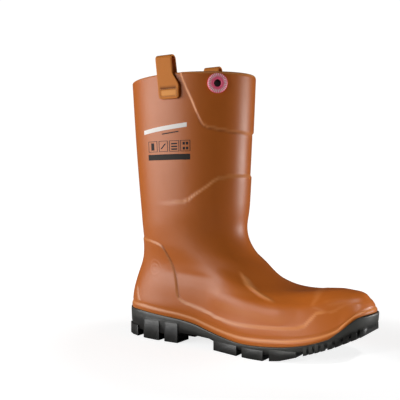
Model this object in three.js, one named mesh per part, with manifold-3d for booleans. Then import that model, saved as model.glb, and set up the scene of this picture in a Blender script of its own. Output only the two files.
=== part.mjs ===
import * as THREE from 'three'
import { mergeVertices } from 'three/addons/utils/BufferGeometryUtils.js'
import Module from 'manifold-3d'

// A right rigger boot, size EU 43. Millimetres, +X to the toe, +Y to the inner side of the foot, +Z up.
// The origin is on the floor under the centre of the heel.

// Driving dimensions of the sole
const SOLE_LENGTH = 310
const BALL_WIDTH = 112
const HEEL_BACK = 40
const FEATHER_BACK = 31.5
const FEATHER_BALL = 13.8
const FEATHER_TIP = 50.8
const SOLE_EDGE = 4.2
const SIDE_LEDGE = 22.3
const LEDGE_STEP = 1.2
const LUG_HEIGHT = 8.5
const WAIST_RISE = 12
const TOE_SPRING = 34.5
const SOLE_THICKNESS = 13.2
const GROOVE = 2.6

// Driving dimensions of the upper
const THROAT_HEIGHT = 150
const TOE_HEIGHT = 74
const ANKLE_DEPTH = 140.4
const ANKLE_WIDTH = 93.8
const ANKLE_CENTRE = 46.4
const RIM_HEIGHT = 304
const COLLAR_DEPTH = 160.6
const COLLAR_WIDTH = 105.8
const COLLAR_CENTRE = 43.9
const RIM_FRONT_RISE = 2.5
const RIM_SIDE_RISE = 1.8
const WALL = 4
const RAND_STEP = 1
const PANEL_STEP = 1.4
const BEAD_STEP = 2
const BEAD_TOP = 7

// Driving dimensions of the fittings
const INSOLE_THICKNESS = 3.5
const STRAP_WIDTH = 22
const STRAP_THICKNESS = 2
const STRAP_RISE = 21.5
const STRAP_REACH = 29
const STRAP_CENTRE = 41
const STRAP_HANG = 1.9
const STRAP_FOOT_WIDTH = 28
const STRAP_FOOT_SHIFT = 8
const BADGE_RADIUS = 11
const BADGE_HOLE = 4
const BADGE_THICKNESS = 2.6
const BADGE_DROP = 13
const BADGE_ANGLE = 137
const GAP = 0.3

// Mesh fineness
const AROUND = 48
const AROUND_INSIDE = 36
const DERIVATIVE_STEP = 0.01

const HALF_BALL = BALL_WIDTH / 2
const TOP = RIM_HEIGHT + 60
const SIDE = BALL_WIDTH

const wasm = await Module()
wasm.setup()

const lengthwise = share => -HEEL_BACK + share * SOLE_LENGTH
const shareOf = x => (x + HEEL_BACK) / SOLE_LENGTH
const mix = (from, to, share) => from + (to - from) * share
const clamp = share => Math.min(1, Math.max(0, share))
const ease = share => clamp(share) ** 2 * (3 - 2 * clamp(share))

// A smooth curve through a table's column, read at any place along its first column
function smooth (table, key, column, place) {
  const last = table.length - 1
  const want = Math.min(Math.max(place, table[0][key]), table[last][key])
  let row = 0
  while (row < last - 1 && table[row + 1][key] <= want) row++
  const slope = i => (table[i + 1][column] - table[i][column]) / (table[i + 1][key] - table[i][key])
  const tangent = i => {
    if (i === 0) return slope(0)
    if (i === last) return slope(last - 1)
    const before = table[i][key] - table[i - 1][key]
    const after = table[i + 1][key] - table[i][key]
    return mix(slope(i - 1), slope(i), after / (before + after))
  }
  const span = table[row + 1][key] - table[row][key]
  const t = (want - table[row][key]) / span
  const from = table[row][column] * (1 + 2 * t) * (1 - t) ** 2
  const to = table[row + 1][column] * t * t * (3 - 2 * t)
  return from + to + span * (tangent(row) * t * (1 - t) ** 2 + tangent(row + 1) * t * t * (t - 1))
}

// Straight lines through a table's column
function linear (table, key, column, place) {
  const want = Math.min(Math.max(place, table[0][key]), table.at(-1)[key])
  let row = 0
  while (row < table.length - 2 && table[row + 1][key] <= want) row++
  const share = (want - table[row][key]) / (table[row + 1][key] - table[row][key])
  return mix(table[row][column], table[row + 1][column], share)
}

// The sole's plan: half widths and centre line in half ball widths, places in sole lengths
const PLAN = [
  { at: 0.00, lateral: 1.380, medial: 1.380, centre: 0.000 },
  { at: 0.13, lateral: 1.075, medial: 1.075, centre: 0.000 },
  { at: 0.38, lateral: 0.770, medial: 0.670, centre: 0.000 },
  { at: 0.63, lateral: 1.030, medial: 0.955, centre: 0.000 },
  { at: 0.73, lateral: 1.100, medial: 1.085, centre: 0.018 },
  { at: 0.85, lateral: 1.170, medial: 1.215, centre: 0.063 },
  { at: 0.93, lateral: 1.220, medial: 1.290, centre: 0.107 },
  { at: 1.00, lateral: 1.280, medial: 1.330, centre: 0.143 }
]

// The feather line, where the upper meets the sole: shares of its heel height and of its toe height
const FEATHER = [
  { at: 0.000, heel: 1.000, toe: 0.000 },
  { at: 0.120, heel: 1.015, toe: 0.000 },
  { at: 0.210, heel: 0.905, toe: 0.000 },
  { at: 0.300, heel: 0.780, toe: 0.000 },
  { at: 0.366, heel: 0.610, toe: 0.000 },
  { at: 0.428, heel: 0.350, toe: 0.000 },
  { at: 0.492, heel: 0.158, toe: 0.000 },
  { at: 0.589, heel: 0.000, toe: 0.000 },
  { at: 0.720, heel: 0.000, toe: 0.046 },
  { at: 0.800, heel: 0.000, toe: 0.138 },
  { at: 0.862, heel: 0.000, toe: 0.284 },
  { at: 0.904, heel: 0.000, toe: 0.465 },
  { at: 0.930, heel: 0.000, toe: 0.708 },
  { at: 0.955, heel: 0.000, toe: 0.911 },
  { at: 0.979, heel: 0.000, toe: 0.989 },
  { at: 1.000, heel: 0.000, toe: 1.000 }
]

// The tread's underside, where the lugs grow from it, and the footbed: shares of the sizes named beside them
const GROUND = [
  { at: 0.000, spring: 0.000, bevel: 0.80 },
  { at: 0.022, spring: 0.000, bevel: 0.00 },
  { at: 0.680, spring: 0.000, bevel: 0.00 },
  { at: 0.735, spring: 0.064, bevel: 0.00 },
  { at: 0.785, spring: 0.197, bevel: 0.00 },
  { at: 0.850, spring: 0.383, bevel: 0.00 },
  { at: 0.900, spring: 0.539, bevel: 0.00 },
  { at: 0.970, spring: 0.826, bevel: 0.00 },
  { at: 1.000, spring: 1.000, bevel: 0.00 }
]
const ROOT = [
  { at: 0.000, lug: 1.25, waist: 0.00, spring: 0.000 },
  { at: 0.030, lug: 1.00, waist: 0.00, spring: 0.000 },
  { at: 0.285, lug: 1.00, waist: 0.00, spring: 0.000 },
  { at: 0.305, lug: 0.00, waist: 1.00, spring: 0.000 },
  { at: 0.440, lug: 0.00, waist: 0.90, spring: 0.000 },
  { at: 0.465, lug: 0.76, waist: 0.00, spring: 0.000 },
  { at: 0.680, lug: 0.76, waist: 0.00, spring: 0.000 },
  { at: 0.740, lug: 0.70, waist: 0.00, spring: 0.070 },
  { at: 0.800, lug: 0.55, waist: 0.00, spring: 0.240 },
  { at: 0.870, lug: 0.50, waist: 0.00, spring: 0.440 },
  { at: 0.930, lug: 0.50, waist: 0.00, spring: 0.640 },
  { at: 1.000, lug: 0.45, waist: 0.00, spring: 1.000 }
]
const BED = [
  { at: 0.00, heel: 0.780, spring: 0.00 },
  { at: 0.12, heel: 0.770, spring: 0.00 },
  { at: 0.30, heel: 0.640, spring: 0.00 },
  { at: 0.40, heel: 0.300, spring: 0.00 },
  { at: 0.49, heel: 0.100, spring: 0.00 },
  { at: 0.59, heel: 0.000, spring: 0.00 },
  { at: 0.70, heel: 0.000, spring: 0.02 },
  { at: 0.80, heel: 0.000, spring: 0.14 },
  { at: 0.85, heel: 0.000, spring: 0.26 },
  { at: 0.90, heel: 0.000, spring: 0.42 },
  { at: 0.95, heel: 0.000, spring: 0.62 },
  { at: 1.00, heel: 0.000, spring: 0.86 }
]

// The upper's levels from the feather line to the throat. Each is a closed loop around the foot that runs
// from the back of the heel to the front of the toe or instep. rise is a share of the height from feather
// to throat, back and front are shares of the sole's length, toe and instep share out the front height,
// tail to tip are half widths along the loop in shares of the named width, skew and swing carry the foot's
// left or right curve, and waistUp to capUp lift the loop's sides there, in shares of the toe's height, so
// that the foot is domed across.
const LEVELS = [
  { rise: 0.000, back: 0.0000, front: 1.000, toe: 0.000, instep: 0.000, of: BALL_WIDTH, tail: 1.320,
    heel: 1.036, waist: 0.679, ball: 0.946, cap: 1.134, tip: 1.268, plan: 1, skew: 1.00, swing: 1.0,
    waistUp: 0.000, ballUp: 0.000, capUp: 0.000 },
  { rise: 0.097, back: 0.0140, front: 0.981, toe: 0.300, instep: 0.000, of: BALL_WIDTH, tail: 1.286,
    heel: 1.018, waist: 0.705, ball: 0.946, cap: 1.089, tip: 1.196, plan: 0, skew: 0.87, swing: 1.0,
    waistUp: 0.000, ballUp: 0.000, capUp: -0.014 },
  { rise: 0.190, back: 0.0180, front: 0.966, toe: 0.610, instep: 0.000, of: BALL_WIDTH, tail: 1.214,
    heel: 0.982, waist: 0.732, ball: 0.920, cap: 1.009, tip: 1.071, plan: 0, skew: 0.59, swing: 1.0,
    waistUp: 0.000, ballUp: -0.027, capUp: -0.041 },
  { rise: 0.274, back: 0.0260, front: 0.939, toe: 0.920, instep: 0.000, of: BALL_WIDTH, tail: 1.125,
    heel: 0.946, waist: 0.741, ball: 0.875, cap: 0.938, tip: 0.964, plan: 0, skew: 0.29, swing: 1.0,
    waistUp: 0.000, ballUp: -0.068, capUp: -0.090 },
  { rise: 0.350, back: 0.0350, front: 0.888, toe: 0.980, instep: 0.000, of: BALL_WIDTH, tail: 1.027,
    heel: 0.902, waist: 0.732, ball: 0.821, cap: 0.848, tip: 0.848, plan: 0, skew: 0.08, swing: 0.7,
    waistUp: 0.000, ballUp: -0.088, capUp: -0.135 },
  { rise: 0.409, back: 0.0432, front: 0.816, toe: 0.850, instep: 0.000, of: BALL_WIDTH, tail: 0.946,
    heel: 0.857, waist: 0.714, ball: 0.759, cap: 0.777, tip: 0.741, plan: 0, skew: 0.00, swing: 0.4,
    waistUp: 0.040, ballUp: 0.015, capUp: -0.070 },
  { rise: 0.460, back: 0.0503, front: 0.739, toe: 0.765, instep: 0.000, of: BALL_WIDTH, tail: 0.884,
    heel: 0.812, waist: 0.716, ball: 0.732, cap: 0.735, tip: 0.680, plan: 0, skew: 0.00, swing: 0.2,
    waistUp: 0.085, ballUp: 0.095, capUp: 0.015 },
  { rise: 0.519, back: 0.0567, front: 0.666, toe: 1.000, instep: 0.013, of: BALL_WIDTH, tail: 0.830,
    heel: 0.780, waist: 0.722, ball: 0.722, cap: 0.700, tip: 0.660, plan: 0, skew: 0.00, swing: 0.0,
    waistUp: 0.081, ballUp: 0.118, capUp: 0.055 },
  { rise: 0.595, back: 0.0609, front: 0.602, toe: 1.000, instep: 0.180, of: BALL_WIDTH, tail: 0.806,
    heel: 0.773, waist: 0.745, ball: 0.735, cap: 0.702, tip: 0.680, plan: 0, skew: 0.00, swing: 0.0,
    waistUp: 0.054, ballUp: 0.088, capUp: 0.101 },
  { rise: 0.679, back: 0.0627, front: 0.553, toe: 1.000, instep: 0.349, of: BALL_WIDTH, tail: 0.812,
    heel: 0.790, waist: 0.775, ball: 0.755, cap: 0.712, tip: 0.690, plan: 0, skew: 0.00, swing: 0.0,
    waistUp: 0.034, ballUp: 0.054, capUp: 0.068 },
  { rise: 0.772, back: 0.0604, front: 0.518, toe: 1.000, instep: 0.553, of: ANKLE_WIDTH, tail: 0.980,
    heel: 0.970, waist: 0.950, ball: 0.930, cap: 0.872, tip: 0.840, plan: 0, skew: 0.00, swing: 0.0,
    waistUp: 0.020, ballUp: 0.034, capUp: 0.034 },
  { rise: 0.882, back: 0.0565, front: 0.503, toe: 1.000, instep: 0.763, of: ANKLE_WIDTH, tail: 0.990,
    heel: 0.990, waist: 0.980, ball: 0.965, cap: 0.930, tip: 0.905, plan: 0, skew: 0.00, swing: 0.0,
    waistUp: 0.007, ballUp: 0.014, capUp: 0.014 }
]

// Places of the columns tail to tip along a level, what the outer and inner half widths differ by there, and
// the column that lifts the loop, if any
const STATIONS = [
  { at: 0.00, column: 'tail', skew: 0.000, swing: 0.000, lift: null },
  { at: 0.13, column: 'heel', skew: 0.000, swing: 0.000, lift: null },
  { at: 0.38, column: 'waist', skew: -0.054, swing: 0.000, lift: 'waistUp' },
  { at: 0.63, column: 'ball', skew: -0.036, swing: 0.000, lift: 'ballUp' },
  { at: 0.85, column: 'cap', skew: 0.027, swing: 0.063, lift: 'capUp' },
  { at: 1.00, column: 'tip', skew: 0.036, swing: 0.143, lift: null }
]

// The shaft's flare from ankle to collar: shares of the shaft's height and of its growth
const FLARE = [
  { up: 0.000, grown: 0.00 },
  { up: 0.162, grown: 0.20 },
  { up: 0.455, grown: 0.52 },
  { up: 0.747, grown: 0.79 },
  { up: 1.000, grown: 1.00 }
]

function footLevel (row) {
  const half = row.of / 2
  const first = row.plan === 1
  return {
    level: mix(FEATHER_BACK, THROAT_HEIGHT, row.rise),
    back: first ? -HEEL_BACK + SOLE_EDGE : lengthwise(row.back),
    front: first ? -HEEL_BACK + SOLE_LENGTH - SOLE_EDGE : lengthwise(row.front),
    frontHeight: mix(mix(FEATHER_TIP, TOE_HEIGHT, row.toe), THROAT_HEIGHT, row.instep),
    tail: row.tail * half,
    heel: row.heel * half,
    waist: row.waist * half,
    ball: row.ball * half,
    cap: row.cap * half,
    tip: row.tip * half,
    waistUp: row.waistUp * TOE_HEIGHT,
    ballUp: row.ballUp * TOE_HEIGHT,
    capUp: row.capUp * TOE_HEIGHT,
    plan: row.plan,
    skew: row.skew,
    swing: row.swing
  }
}

function shaftLevel ({ up, grown }) {
  const level = mix(THROAT_HEIGHT, RIM_HEIGHT, up)
  const half = mix(ANKLE_WIDTH, COLLAR_WIDTH, grown) / 2
  const depth = mix(ANKLE_DEPTH, COLLAR_DEPTH, grown)
  const centre = mix(ANKLE_CENTRE, COLLAR_CENTRE, grown)
  const widths = { tail: half, heel: half, waist: half, ball: half, cap: half, tip: half }
  return {
    level,
    back: centre - depth / 2,
    front: centre + depth / 2,
    frontHeight: level + up * RIM_FRONT_RISE,
    ...widths,
    waistUp: 0,
    ballUp: 0,
    capUp: 0,
    plan: 0,
    skew: 0,
    swing: 0
  }
}

const ROWS = [...LEVELS.map(footLevel), ...FLARE.map(shaftLevel)]
const COLUMNS = Object.keys(ROWS[0]).filter(column => column !== 'level')

const featherHeight = share =>
  FEATHER_BALL + smooth(FEATHER, 'at', 'heel', share) * (FEATHER_BACK - FEATHER_BALL) +
  smooth(FEATHER, 'at', 'toe', share) * (FEATHER_TIP - FEATHER_BALL)
const groundHeight = share =>
  linear(GROUND, 'at', 'spring', share) * TOE_SPRING + linear(GROUND, 'at', 'bevel', share) * LUG_HEIGHT
const rootHeight = share =>
  linear(ROOT, 'at', 'lug', share) * LUG_HEIGHT + linear(ROOT, 'at', 'waist', share) * WAIST_RISE +
  linear(ROOT, 'at', 'spring', share) * TOE_SPRING
const bedHeight = share =>
  SOLE_THICKNESS + smooth(BED, 'at', 'heel', share) * (FEATHER_BACK - FEATHER_BALL) +
  smooth(BED, 'at', 'spring', share) * TOE_SPRING

// Half width of the sole's plan on the side that the angle is on, and its centre line
const planWidth = (share, angle) =>
  smooth(PLAN, 'at', Math.sin(angle) < 0 ? 'lateral' : 'medial', share) * HALF_BALL
const planCentre = share => smooth(PLAN, 'at', 'centre', share) * HALF_BALL
const shareAt = angle => (1 - Math.cos(angle)) / 2

// A point of the sole's plan, grown outwards. Angle 0 is the heel and half a turn the toe
function planPoint (angle, grow) {
  const share = shareAt(angle)
  const x = -HEEL_BACK - grow + share * (SOLE_LENGTH + 2 * grow)
  const y = planCentre(share) + (planWidth(share, angle) + grow) * Math.sin(angle)
  return [x, y]
}

// The upper's outer form: a point at a level, which is its height at the back, and an angle around it
function formPoint (level, angle) {
  const row = Object.fromEntries(COLUMNS.map(column => [column, smooth(ROWS, 'level', column, level)]))
  const share = shareAt(angle)
  const side = Math.sin(angle) < 0 ? -1 : 1
  const stations = STATIONS.map(({ at, column, skew, swing, lift }) => ({
    at,
    half: row[column] + side * skew * row.skew * HALF_BALL,
    swing: swing * HALF_BALL,
    up: lift ? row[lift] : 0
  }))
  const own = smooth(stations, 'at', 'half', share)
  const half = mix(own, planWidth(share, angle) - SOLE_EDGE, row.plan)
  const centre = smooth(stations, 'at', 'swing', share) * row.swing
  const followed = ease((footTop - level) / (footTop - FEATHER_BACK))
  const rim = clamp((level - THROAT_HEIGHT) / (RIM_HEIGHT - THROAT_HEIGHT)) ** 2
  const x = row.back + (row.front - row.back) * share
  const dip = featherHeight(shareOf(x)) - mix(FEATHER_BACK, FEATHER_TIP, share)
  const y = mix(centre, planCentre(share), row.plan) + half * Math.sin(angle)
  const slope = mix(level, row.frontHeight, share) + smooth(stations, 'at', 'up', share)
  const z = slope + followed * dip + rim * RIM_SIDE_RISE * Math.sin(angle) ** 2
  return new THREE.Vector3(x, y, z)
}
const footTop = mix(FEATHER_BACK, THROAT_HEIGHT, LEVELS[5].rise)

// The same point moved out along the form's own normal
function offsetPoint (level, angle, offset) {
  const low = Math.max(level - DERIVATIVE_STEP, FEATHER_BACK)
  const high = Math.min(level + DERIVATIVE_STEP, RIM_HEIGHT)
  const up = formPoint(high, angle).sub(formPoint(low, angle))
  const along = formPoint(level, angle + DERIVATIVE_STEP).sub(formPoint(level, angle - DERIVATIVE_STEP))
  const normal = up.cross(along).normalize()
  return formPoint(level, angle).addScaledVector(normal, offset)
}

// A closed solid through rings of points, ruled across at both ends. Rings run heel, inner side, toe
function loft (rings) {
  const count = rings[0].length
  const points = rings.flat().flatMap(({ x, y, z }) => [x, y, z])
  const faces = []
  for (let ring = 0; ring < rings.length - 1; ring++) {
    for (let i = 0; i < count; i++) {
      const next = (i + 1) % count
      const [a, b] = [ring * count + i, ring * count + next]
      faces.push(a, a + count, b, b, a + count, b + count)
    }
  }
  const top = (rings.length - 1) * count
  for (let i = 0; i < count / 2; i++) {
    const [near, far] = [i, count - i]
    const [nearNext, farNext] = [i + 1, count - i - 1]
    if (i > 0) faces.push(near, nearNext, far, top + near, top + far, top + nearNext)
    if (i < count / 2 - 1) {
      const start = far % count
      faces.push(nearNext, farNext, start, top + nearNext, top + start, top + farNext)
    }
  }
  return solid(points, faces)
}

function solid (points, faces) {
  const mesh = new wasm.Mesh({
    numProp: 3,
    vertProperties: new Float32Array(points),
    triVerts: new Uint32Array(faces)
  })
  return new wasm.Manifold(mesh)
}

function fromGeometry (geometry) {
  const bare = geometry.clone()
  bare.deleteAttribute('normal')
  bare.deleteAttribute('uv')
  const merged = mergeVertices(bare, 1e-4)
  return solid(merged.attributes.position.array, merged.index.array)
}

const angles = count => Array.from({ length: count }, (_, i) => 2 * Math.PI * i / count)
const union = solids => solids.reduce((whole, next) => whole.add(next))

// A ring of the upper's form, with an offset that may differ around it
function formRing (level, offset, count = AROUND) {
  const height = typeof offset === 'function' ? offset : () => offset
  return angles(count).map(angle => offsetPoint(level, angle, height(angle)))
}

// A ring of the sole's plan at a height that follows the length
const planRing = (grow, height, count = AROUND) => angles(count).map(angle => {
  const [x, y] = planPoint(angle, grow)
  return new THREE.Vector3(x, y, height(shareOf(x)))
})

// A side view outline pushed through from side to side, its points given as [x, z]
function sidePrism (outline, reach = SIDE) {
  const shape = new THREE.Shape(outline.map(([x, z]) => new THREE.Vector2(x, z)))
  const geometry = new THREE.ExtrudeGeometry(shape, { depth: 2 * reach, bevelEnabled: false })
  return fromGeometry(geometry.rotateX(Math.PI / 2).translate(0, reach, 0))
}

// A plan view outline pushed up, its points given as [x, y]
function planPrism (outline, bottom, top) {
  const shape = outline instanceof THREE.Shape
    ? outline
    : new THREE.Shape(outline.map(([x, y]) => new THREE.Vector2(x, y)))
  const depth = top - bottom
  const geometry = new THREE.ExtrudeGeometry(shape, { depth, bevelEnabled: false, curveSegments: 3 })
  return fromGeometry(geometry.translate(0, 0, bottom))
}

// What lies above a height that follows the length
function above (height, places) {
  const line = places.map(share => [lengthwise(share), height(share)])
  const [start, end] = [lengthwise(-0.2), lengthwise(1.2)]
  return sidePrism([[start, line[0][1]], ...line, [end, line.at(-1)[1]], [end, TOP], [start, TOP]])
}

function levelsBetween (low, high, steps) {
  return Array.from({ length: steps + 1 }, (_, i) => mix(low, high, i / steps))
}

// Levels of the outer and inner loft, closer where the form bends more
const FOOT_TOP_LEVEL = mix(FEATHER_BACK, THROAT_HEIGHT, 0.6)
const OUTER_LEVELS = [
  ...levelsBetween(FEATHER_BACK, FOOT_TOP_LEVEL, 14),
  ...levelsBetween(FOOT_TOP_LEVEL, THROAT_HEIGHT, 6).slice(1),
  ...levelsBetween(THROAT_HEIGHT, RIM_HEIGHT, 6).slice(1)
]
const INNER_LEVELS = [
  ...levelsBetween(FEATHER_BACK, FOOT_TOP_LEVEL, 9),
  ...levelsBetween(FOOT_TOP_LEVEL, THROAT_HEIGHT, 5).slice(1),
  ...levelsBetween(THROAT_HEIGHT, RIM_HEIGHT, 4).slice(1)
]

// The room inside, from under the floor to over the rim, narrowed by a clearance
function insideRoom (clearance) {
  const rings = INNER_LEVELS.map(level => formRing(level, -WALL - clearance, AROUND_INSIDE))
  const floor = rings[0].map(({ x, y }) => new THREE.Vector3(x, y, -SIDE_LEDGE))
  const sky = rings.at(-1).map(({ x, y }) => new THREE.Vector3(x, y, TOP))
  return loft([floor, ...rings, sky])
}
const bedPlaces = BED.map(({ at }) => at)

// What lies above the feather line, lowered by a gap, which cuts upper and sole alike
const aboveFeather = drop => above(share => featherHeight(share) - drop, levelsBetween(0, 1, 26))

// The edges of the raised panels, in side view: shares of the sole's length and of the throat's height
const RAND_EDGE = [
  { along: -0.100, up: 0.800 },
  { along: 0.084, up: 0.780 },
  { along: 0.155, up: 0.770 },
  { along: 0.222, up: 0.738 },
  { along: 0.247, up: 0.668 },
  { along: 0.271, up: 0.567 },
  { along: 0.289, up: 0.457 },
  { along: 0.299, up: 0.360 },
  { along: 0.325, up: 0.322 },
  { along: 0.419, up: 0.280 },
  { along: 0.494, up: 0.240 },
  { along: 0.571, up: 0.223 },
  { along: 0.677, up: 0.225 },
  { along: 0.758, up: 0.236 },
  { along: 0.800, up: 0.251 },
  { along: 0.821, up: 0.297 },
  { along: 0.839, up: 0.343 },
  { along: 0.885, up: 0.362 },
  { along: 0.923, up: 0.405 },
  { along: 1.100, up: 0.430 }
]
const CAP_EDGE = [
  { along: 0.800, up: 0.385 },
  { along: 0.812, up: 0.433 },
  { along: 0.806, up: 0.540 },
  { along: 1.100, up: 0.540 },
  { along: 1.100, up: 0.300 },
  { along: 0.900, up: 0.355 },
  { along: 0.850, up: 0.352 }
]
const CAP_TURN = 0.17

// The edges of the shaft's panels: shares of the collar's depth and of the rim's height
const SHIN_EDGE = [
  { along: 0.600, up: 1.200 },
  { along: 0.624, up: 1.011 },
  { along: 0.657, up: 0.960 },
  { along: 0.696, up: 0.914 },
  { along: 0.733, up: 0.863 },
  { along: 0.757, up: 0.832 },
  { along: 0.776, up: 0.817 },
  { along: 0.800, up: 0.809 },
  { along: 0.840, up: 0.804 },
  { along: 0.966, up: 0.789 },
  { along: 1.200, up: 0.780 },
  { along: 1.200, up: 1.200 }
]
const SHAFT_EDGE = [
  { along: -0.150, up: 0.528 },
  { along: 0.420, up: 0.530 },
  { along: 0.556, up: 0.533 },
  { along: 0.650, up: 0.541 },
  { along: 0.706, up: 0.562 },
  { along: 0.790, up: 0.594 },
  { along: 0.830, up: 0.613 },
  { along: 0.875, up: 0.625 },
  { along: 1.200, up: 0.628 },
  { along: 1.200, up: 0.300 },
  { along: -0.150, up: 0.300 }
]
const collarBack = COLLAR_CENTRE - COLLAR_DEPTH / 2

const onFoot = table => table.map(({ along, up }) => [lengthwise(along), up * THROAT_HEIGHT])
const onShaft = table => table.map(({ along, up }) => [collarBack + along * COLLAR_DEPTH, up * RIM_HEIGHT])

// Rings with one more under the lowest, so that a cut along the feather line passes through the wall
function lowered (rings) {
  return [rings[0].map(({ x, y, z }) => new THREE.Vector3(x, y, z - BEAD_TOP)), ...rings]
}

// The form raised by a step, between two levels, to be cut to a panel
const raised = (step, levels) => loft(lowered(levels.map(level => formRing(level, step))))

const between = (low, high) => OUTER_LEVELS.filter(level => level >= low - 1 && level <= high + 1)

// The rand and heel counter in one, proud of the foot
function randPanel () {
  const edge = onFoot(RAND_EDGE)
  const under = [[lengthwise(1.1), -SIDE_LEDGE], [lengthwise(-0.1), -SIDE_LEDGE]]
  const levels = between(FEATHER_BACK, THROAT_HEIGHT * 0.84)
  return raised(RAND_STEP, levels).intersect(sidePrism([...edge, ...under]))
}

function toeCap () {
  const turned = sidePrism(onFoot(CAP_EDGE).map(([x, z]) => [x - lengthwise(0.8), z]))
    .rotate([0, 0, THREE.MathUtils.radToDeg(CAP_TURN)])
    .translate([lengthwise(0.8), 0, 0])
  return raised(RAND_STEP, between(FEATHER_BACK, THROAT_HEIGHT * 0.75)).intersect(turned)
}

function shinPanel () {
  const levels = between(RIM_HEIGHT * 0.7, RIM_HEIGHT)
  return raised(PANEL_STEP, levels).intersect(sidePrism(onShaft(SHIN_EDGE)))
}

// The lower shaft's panel runs out softly towards the foot and the back, by sinking under the form there
function shaftPanel () {
  const levels = levelsBetween(THROAT_HEIGHT * 0.8, RIM_HEIGHT * 0.68, 7)
  const rings = levels.map(level => {
    const low = ease((level - THROAT_HEIGHT * 0.86) / (THROAT_HEIGHT * 0.22))
    return formRing(level, angle => {
      const front = ease((shareAt(angle) - 0.3) / 0.35)
      return mix(-PANEL_STEP, PANEL_STEP, low * front)
    })
  })
  return loft(rings).intersect(sidePrism(onShaft(SHAFT_EDGE)))
}

// The moulded bead along the feather line
function bead () {
  const rings = [
    formRing(FEATHER_BACK, BEAD_STEP),
    formRing(FEATHER_BACK + BEAD_TOP - 1, BEAD_STEP),
    formRing(FEATHER_BACK + BEAD_TOP, 0)
  ]
  return loft(lowered(rings))
}

function upperSolid () {
  const outside = loft(lowered(OUTER_LEVELS.map(level => formRing(level, 0))))
  return union([outside, randPanel(), toeCap(), shinPanel(), shaftPanel(), bead()])
    .intersect(aboveFeather(0))
    .subtract(insideRoom(0))
}

// Blocks of the tread. from and to are shares of the sole's length, out and in are half ball widths from the
// centre line, with the inner side of the foot positive, and point pulls the middle of the inward edge in
const SIDE_BLOCKS = [
  { from: 0.135, to: 0.213, side: 1, out: 1.40, in: 0.42, point: 0.00, top: 'ledge' },
  { from: 0.239, to: 0.297, side: 1, out: 1.40, in: 0.38, point: 0.06, top: 'ledge' },
  { from: 0.135, to: 0.213, side: -1, out: 1.40, in: 0.52, point: 0.00, top: 'ledge' },
  { from: 0.239, to: 0.297, side: -1, out: 1.40, in: 0.34, point: 0.00, top: 'ledge' },
  { from: 0.463, to: 0.571, side: 1, out: 1.40, in: 0.62, point: 0.18, top: 'root' },
  { from: 0.594, to: 0.677, side: 1, out: 1.40, in: 0.62, point: 0.18, top: 'root' },
  { from: 0.700, to: 0.790, side: 1, out: 1.40, in: 0.66, point: 0.00, top: 'root' },
  { from: 0.463, to: 0.571, side: -1, out: 1.40, in: 0.50, point: 0.10, top: 'root' },
  { from: 0.594, to: 0.677, side: -1, out: 1.40, in: 0.50, point: 0.10, top: 'root' },
  { from: 0.700, to: 0.790, side: -1, out: 1.40, in: 0.62, point: 0.00, top: 'root' }
]
const CENTRE_BLOCKS = [
  { from: 0.235, to: 0.297, low: -0.10, high: 0.20, narrow: 0.06 },
  { from: 0.476, to: 0.512, low: -0.36, high: -0.04, narrow: 0.00 },
  { from: 0.476, to: 0.512, low: 0.06, high: 0.38, narrow: 0.00 },
  { from: 0.528, to: 0.578, low: -0.38, high: -0.04, narrow: 0.10 },
  { from: 0.528, to: 0.578, low: 0.06, high: 0.42, narrow: 0.10 },
  { from: 0.586, to: 0.636, low: -0.38, high: -0.04, narrow: -0.10 },
  { from: 0.586, to: 0.636, low: 0.06, high: 0.42, narrow: -0.10 }
]
const HEEL_RIM = [
  { from: 0.000, to: 0.055, low: -0.28, high: 0.28, spread: 0.10 },
  { from: 0.000, to: 0.100, low: 0.36, high: 1.30, spread: 0.12 },
  { from: 0.000, to: 0.100, low: -1.30, high: -0.36, spread: -0.12 }
]
const HEEL_PAD = { at: 0.113, wide: 0.42, long: 0.108, across: 0.02, corner: 0.12 }
const PIVOT_PAD = { at: 0.752, wide: 0.84, long: 0.172, across: -0.06, corner: 0.26 }
const PAD_RINGS = [0.86, 0.58, 0.30]
const LONG_BARS = { first: 0.884, pitch: 0.021, count: 5, width: 0.013 }
const SHORT_BARS = { first: 0.812, pitch: 0.0175, count: 4, width: 0.011, inner: 0.64 }
const WAIST_RIBS = { first: 0.318, pitch: 0.0128, count: 9, width: 0.007, half: 0.30, rise: 0.15 }
const WAIST_PLATE = { at: 0.380, wide: 0.20, long: 0.135, across: -0.48, corner: 0.05 }
const TOE_ARCH = { at: 0.815, wide: 1.20, long: 0.116, across: 0.02, corner: 0.26 }

function roundedBox ({ at, wide, long, across, corner }, inset = 0) {
  const x = lengthwise(at)
  const y = across * HALF_BALL
  const halfLong = long * SOLE_LENGTH / 2 - inset
  const halfWide = wide * HALF_BALL / 2 - inset
  const round = Math.min(Math.max(corner * HALF_BALL - inset, 1), halfLong * 0.9, halfWide * 0.9)
  const shape = new THREE.Shape()
  shape.absarc(x + halfLong - round, y + halfWide - round, round, 0, Math.PI / 2)
  shape.absarc(x - halfLong + round, y + halfWide - round, round, Math.PI / 2, Math.PI)
  shape.absarc(x - halfLong + round, y - halfWide + round, round, Math.PI, 1.5 * Math.PI)
  shape.absarc(x + halfLong - round, y - halfWide + round, round, 1.5 * Math.PI, 2 * Math.PI)
  shape.closePath()
  return shape
}

// The height that a block reaches up to, inside the sole's body or at the ledge of its side
const blockTop = (share, kind) => kind === 'ledge' ? SIDE_LEDGE : rootHeight(share) + LUG_HEIGHT * 0.5

function sideBlock ({ from, to, side, out, in: inner, point, top }) {
  const middle = (from + to) / 2
  const [start, end] = [lengthwise(from), lengthwise(to)]
  const edge = side * inner * HALF_BALL
  const tip = side * (inner - point) * HALF_BALL
  const outer = side * out * HALF_BALL
  const outline = point
    ? [[start, outer], [start, edge], [lengthwise(middle), tip], [end, edge], [end, outer]]
    : [[start, outer], [start, edge], [end, edge], [end, outer]]
  return planPrism(side > 0 ? outline : outline.reverse(), -1, blockTop(middle, top))
}

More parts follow.
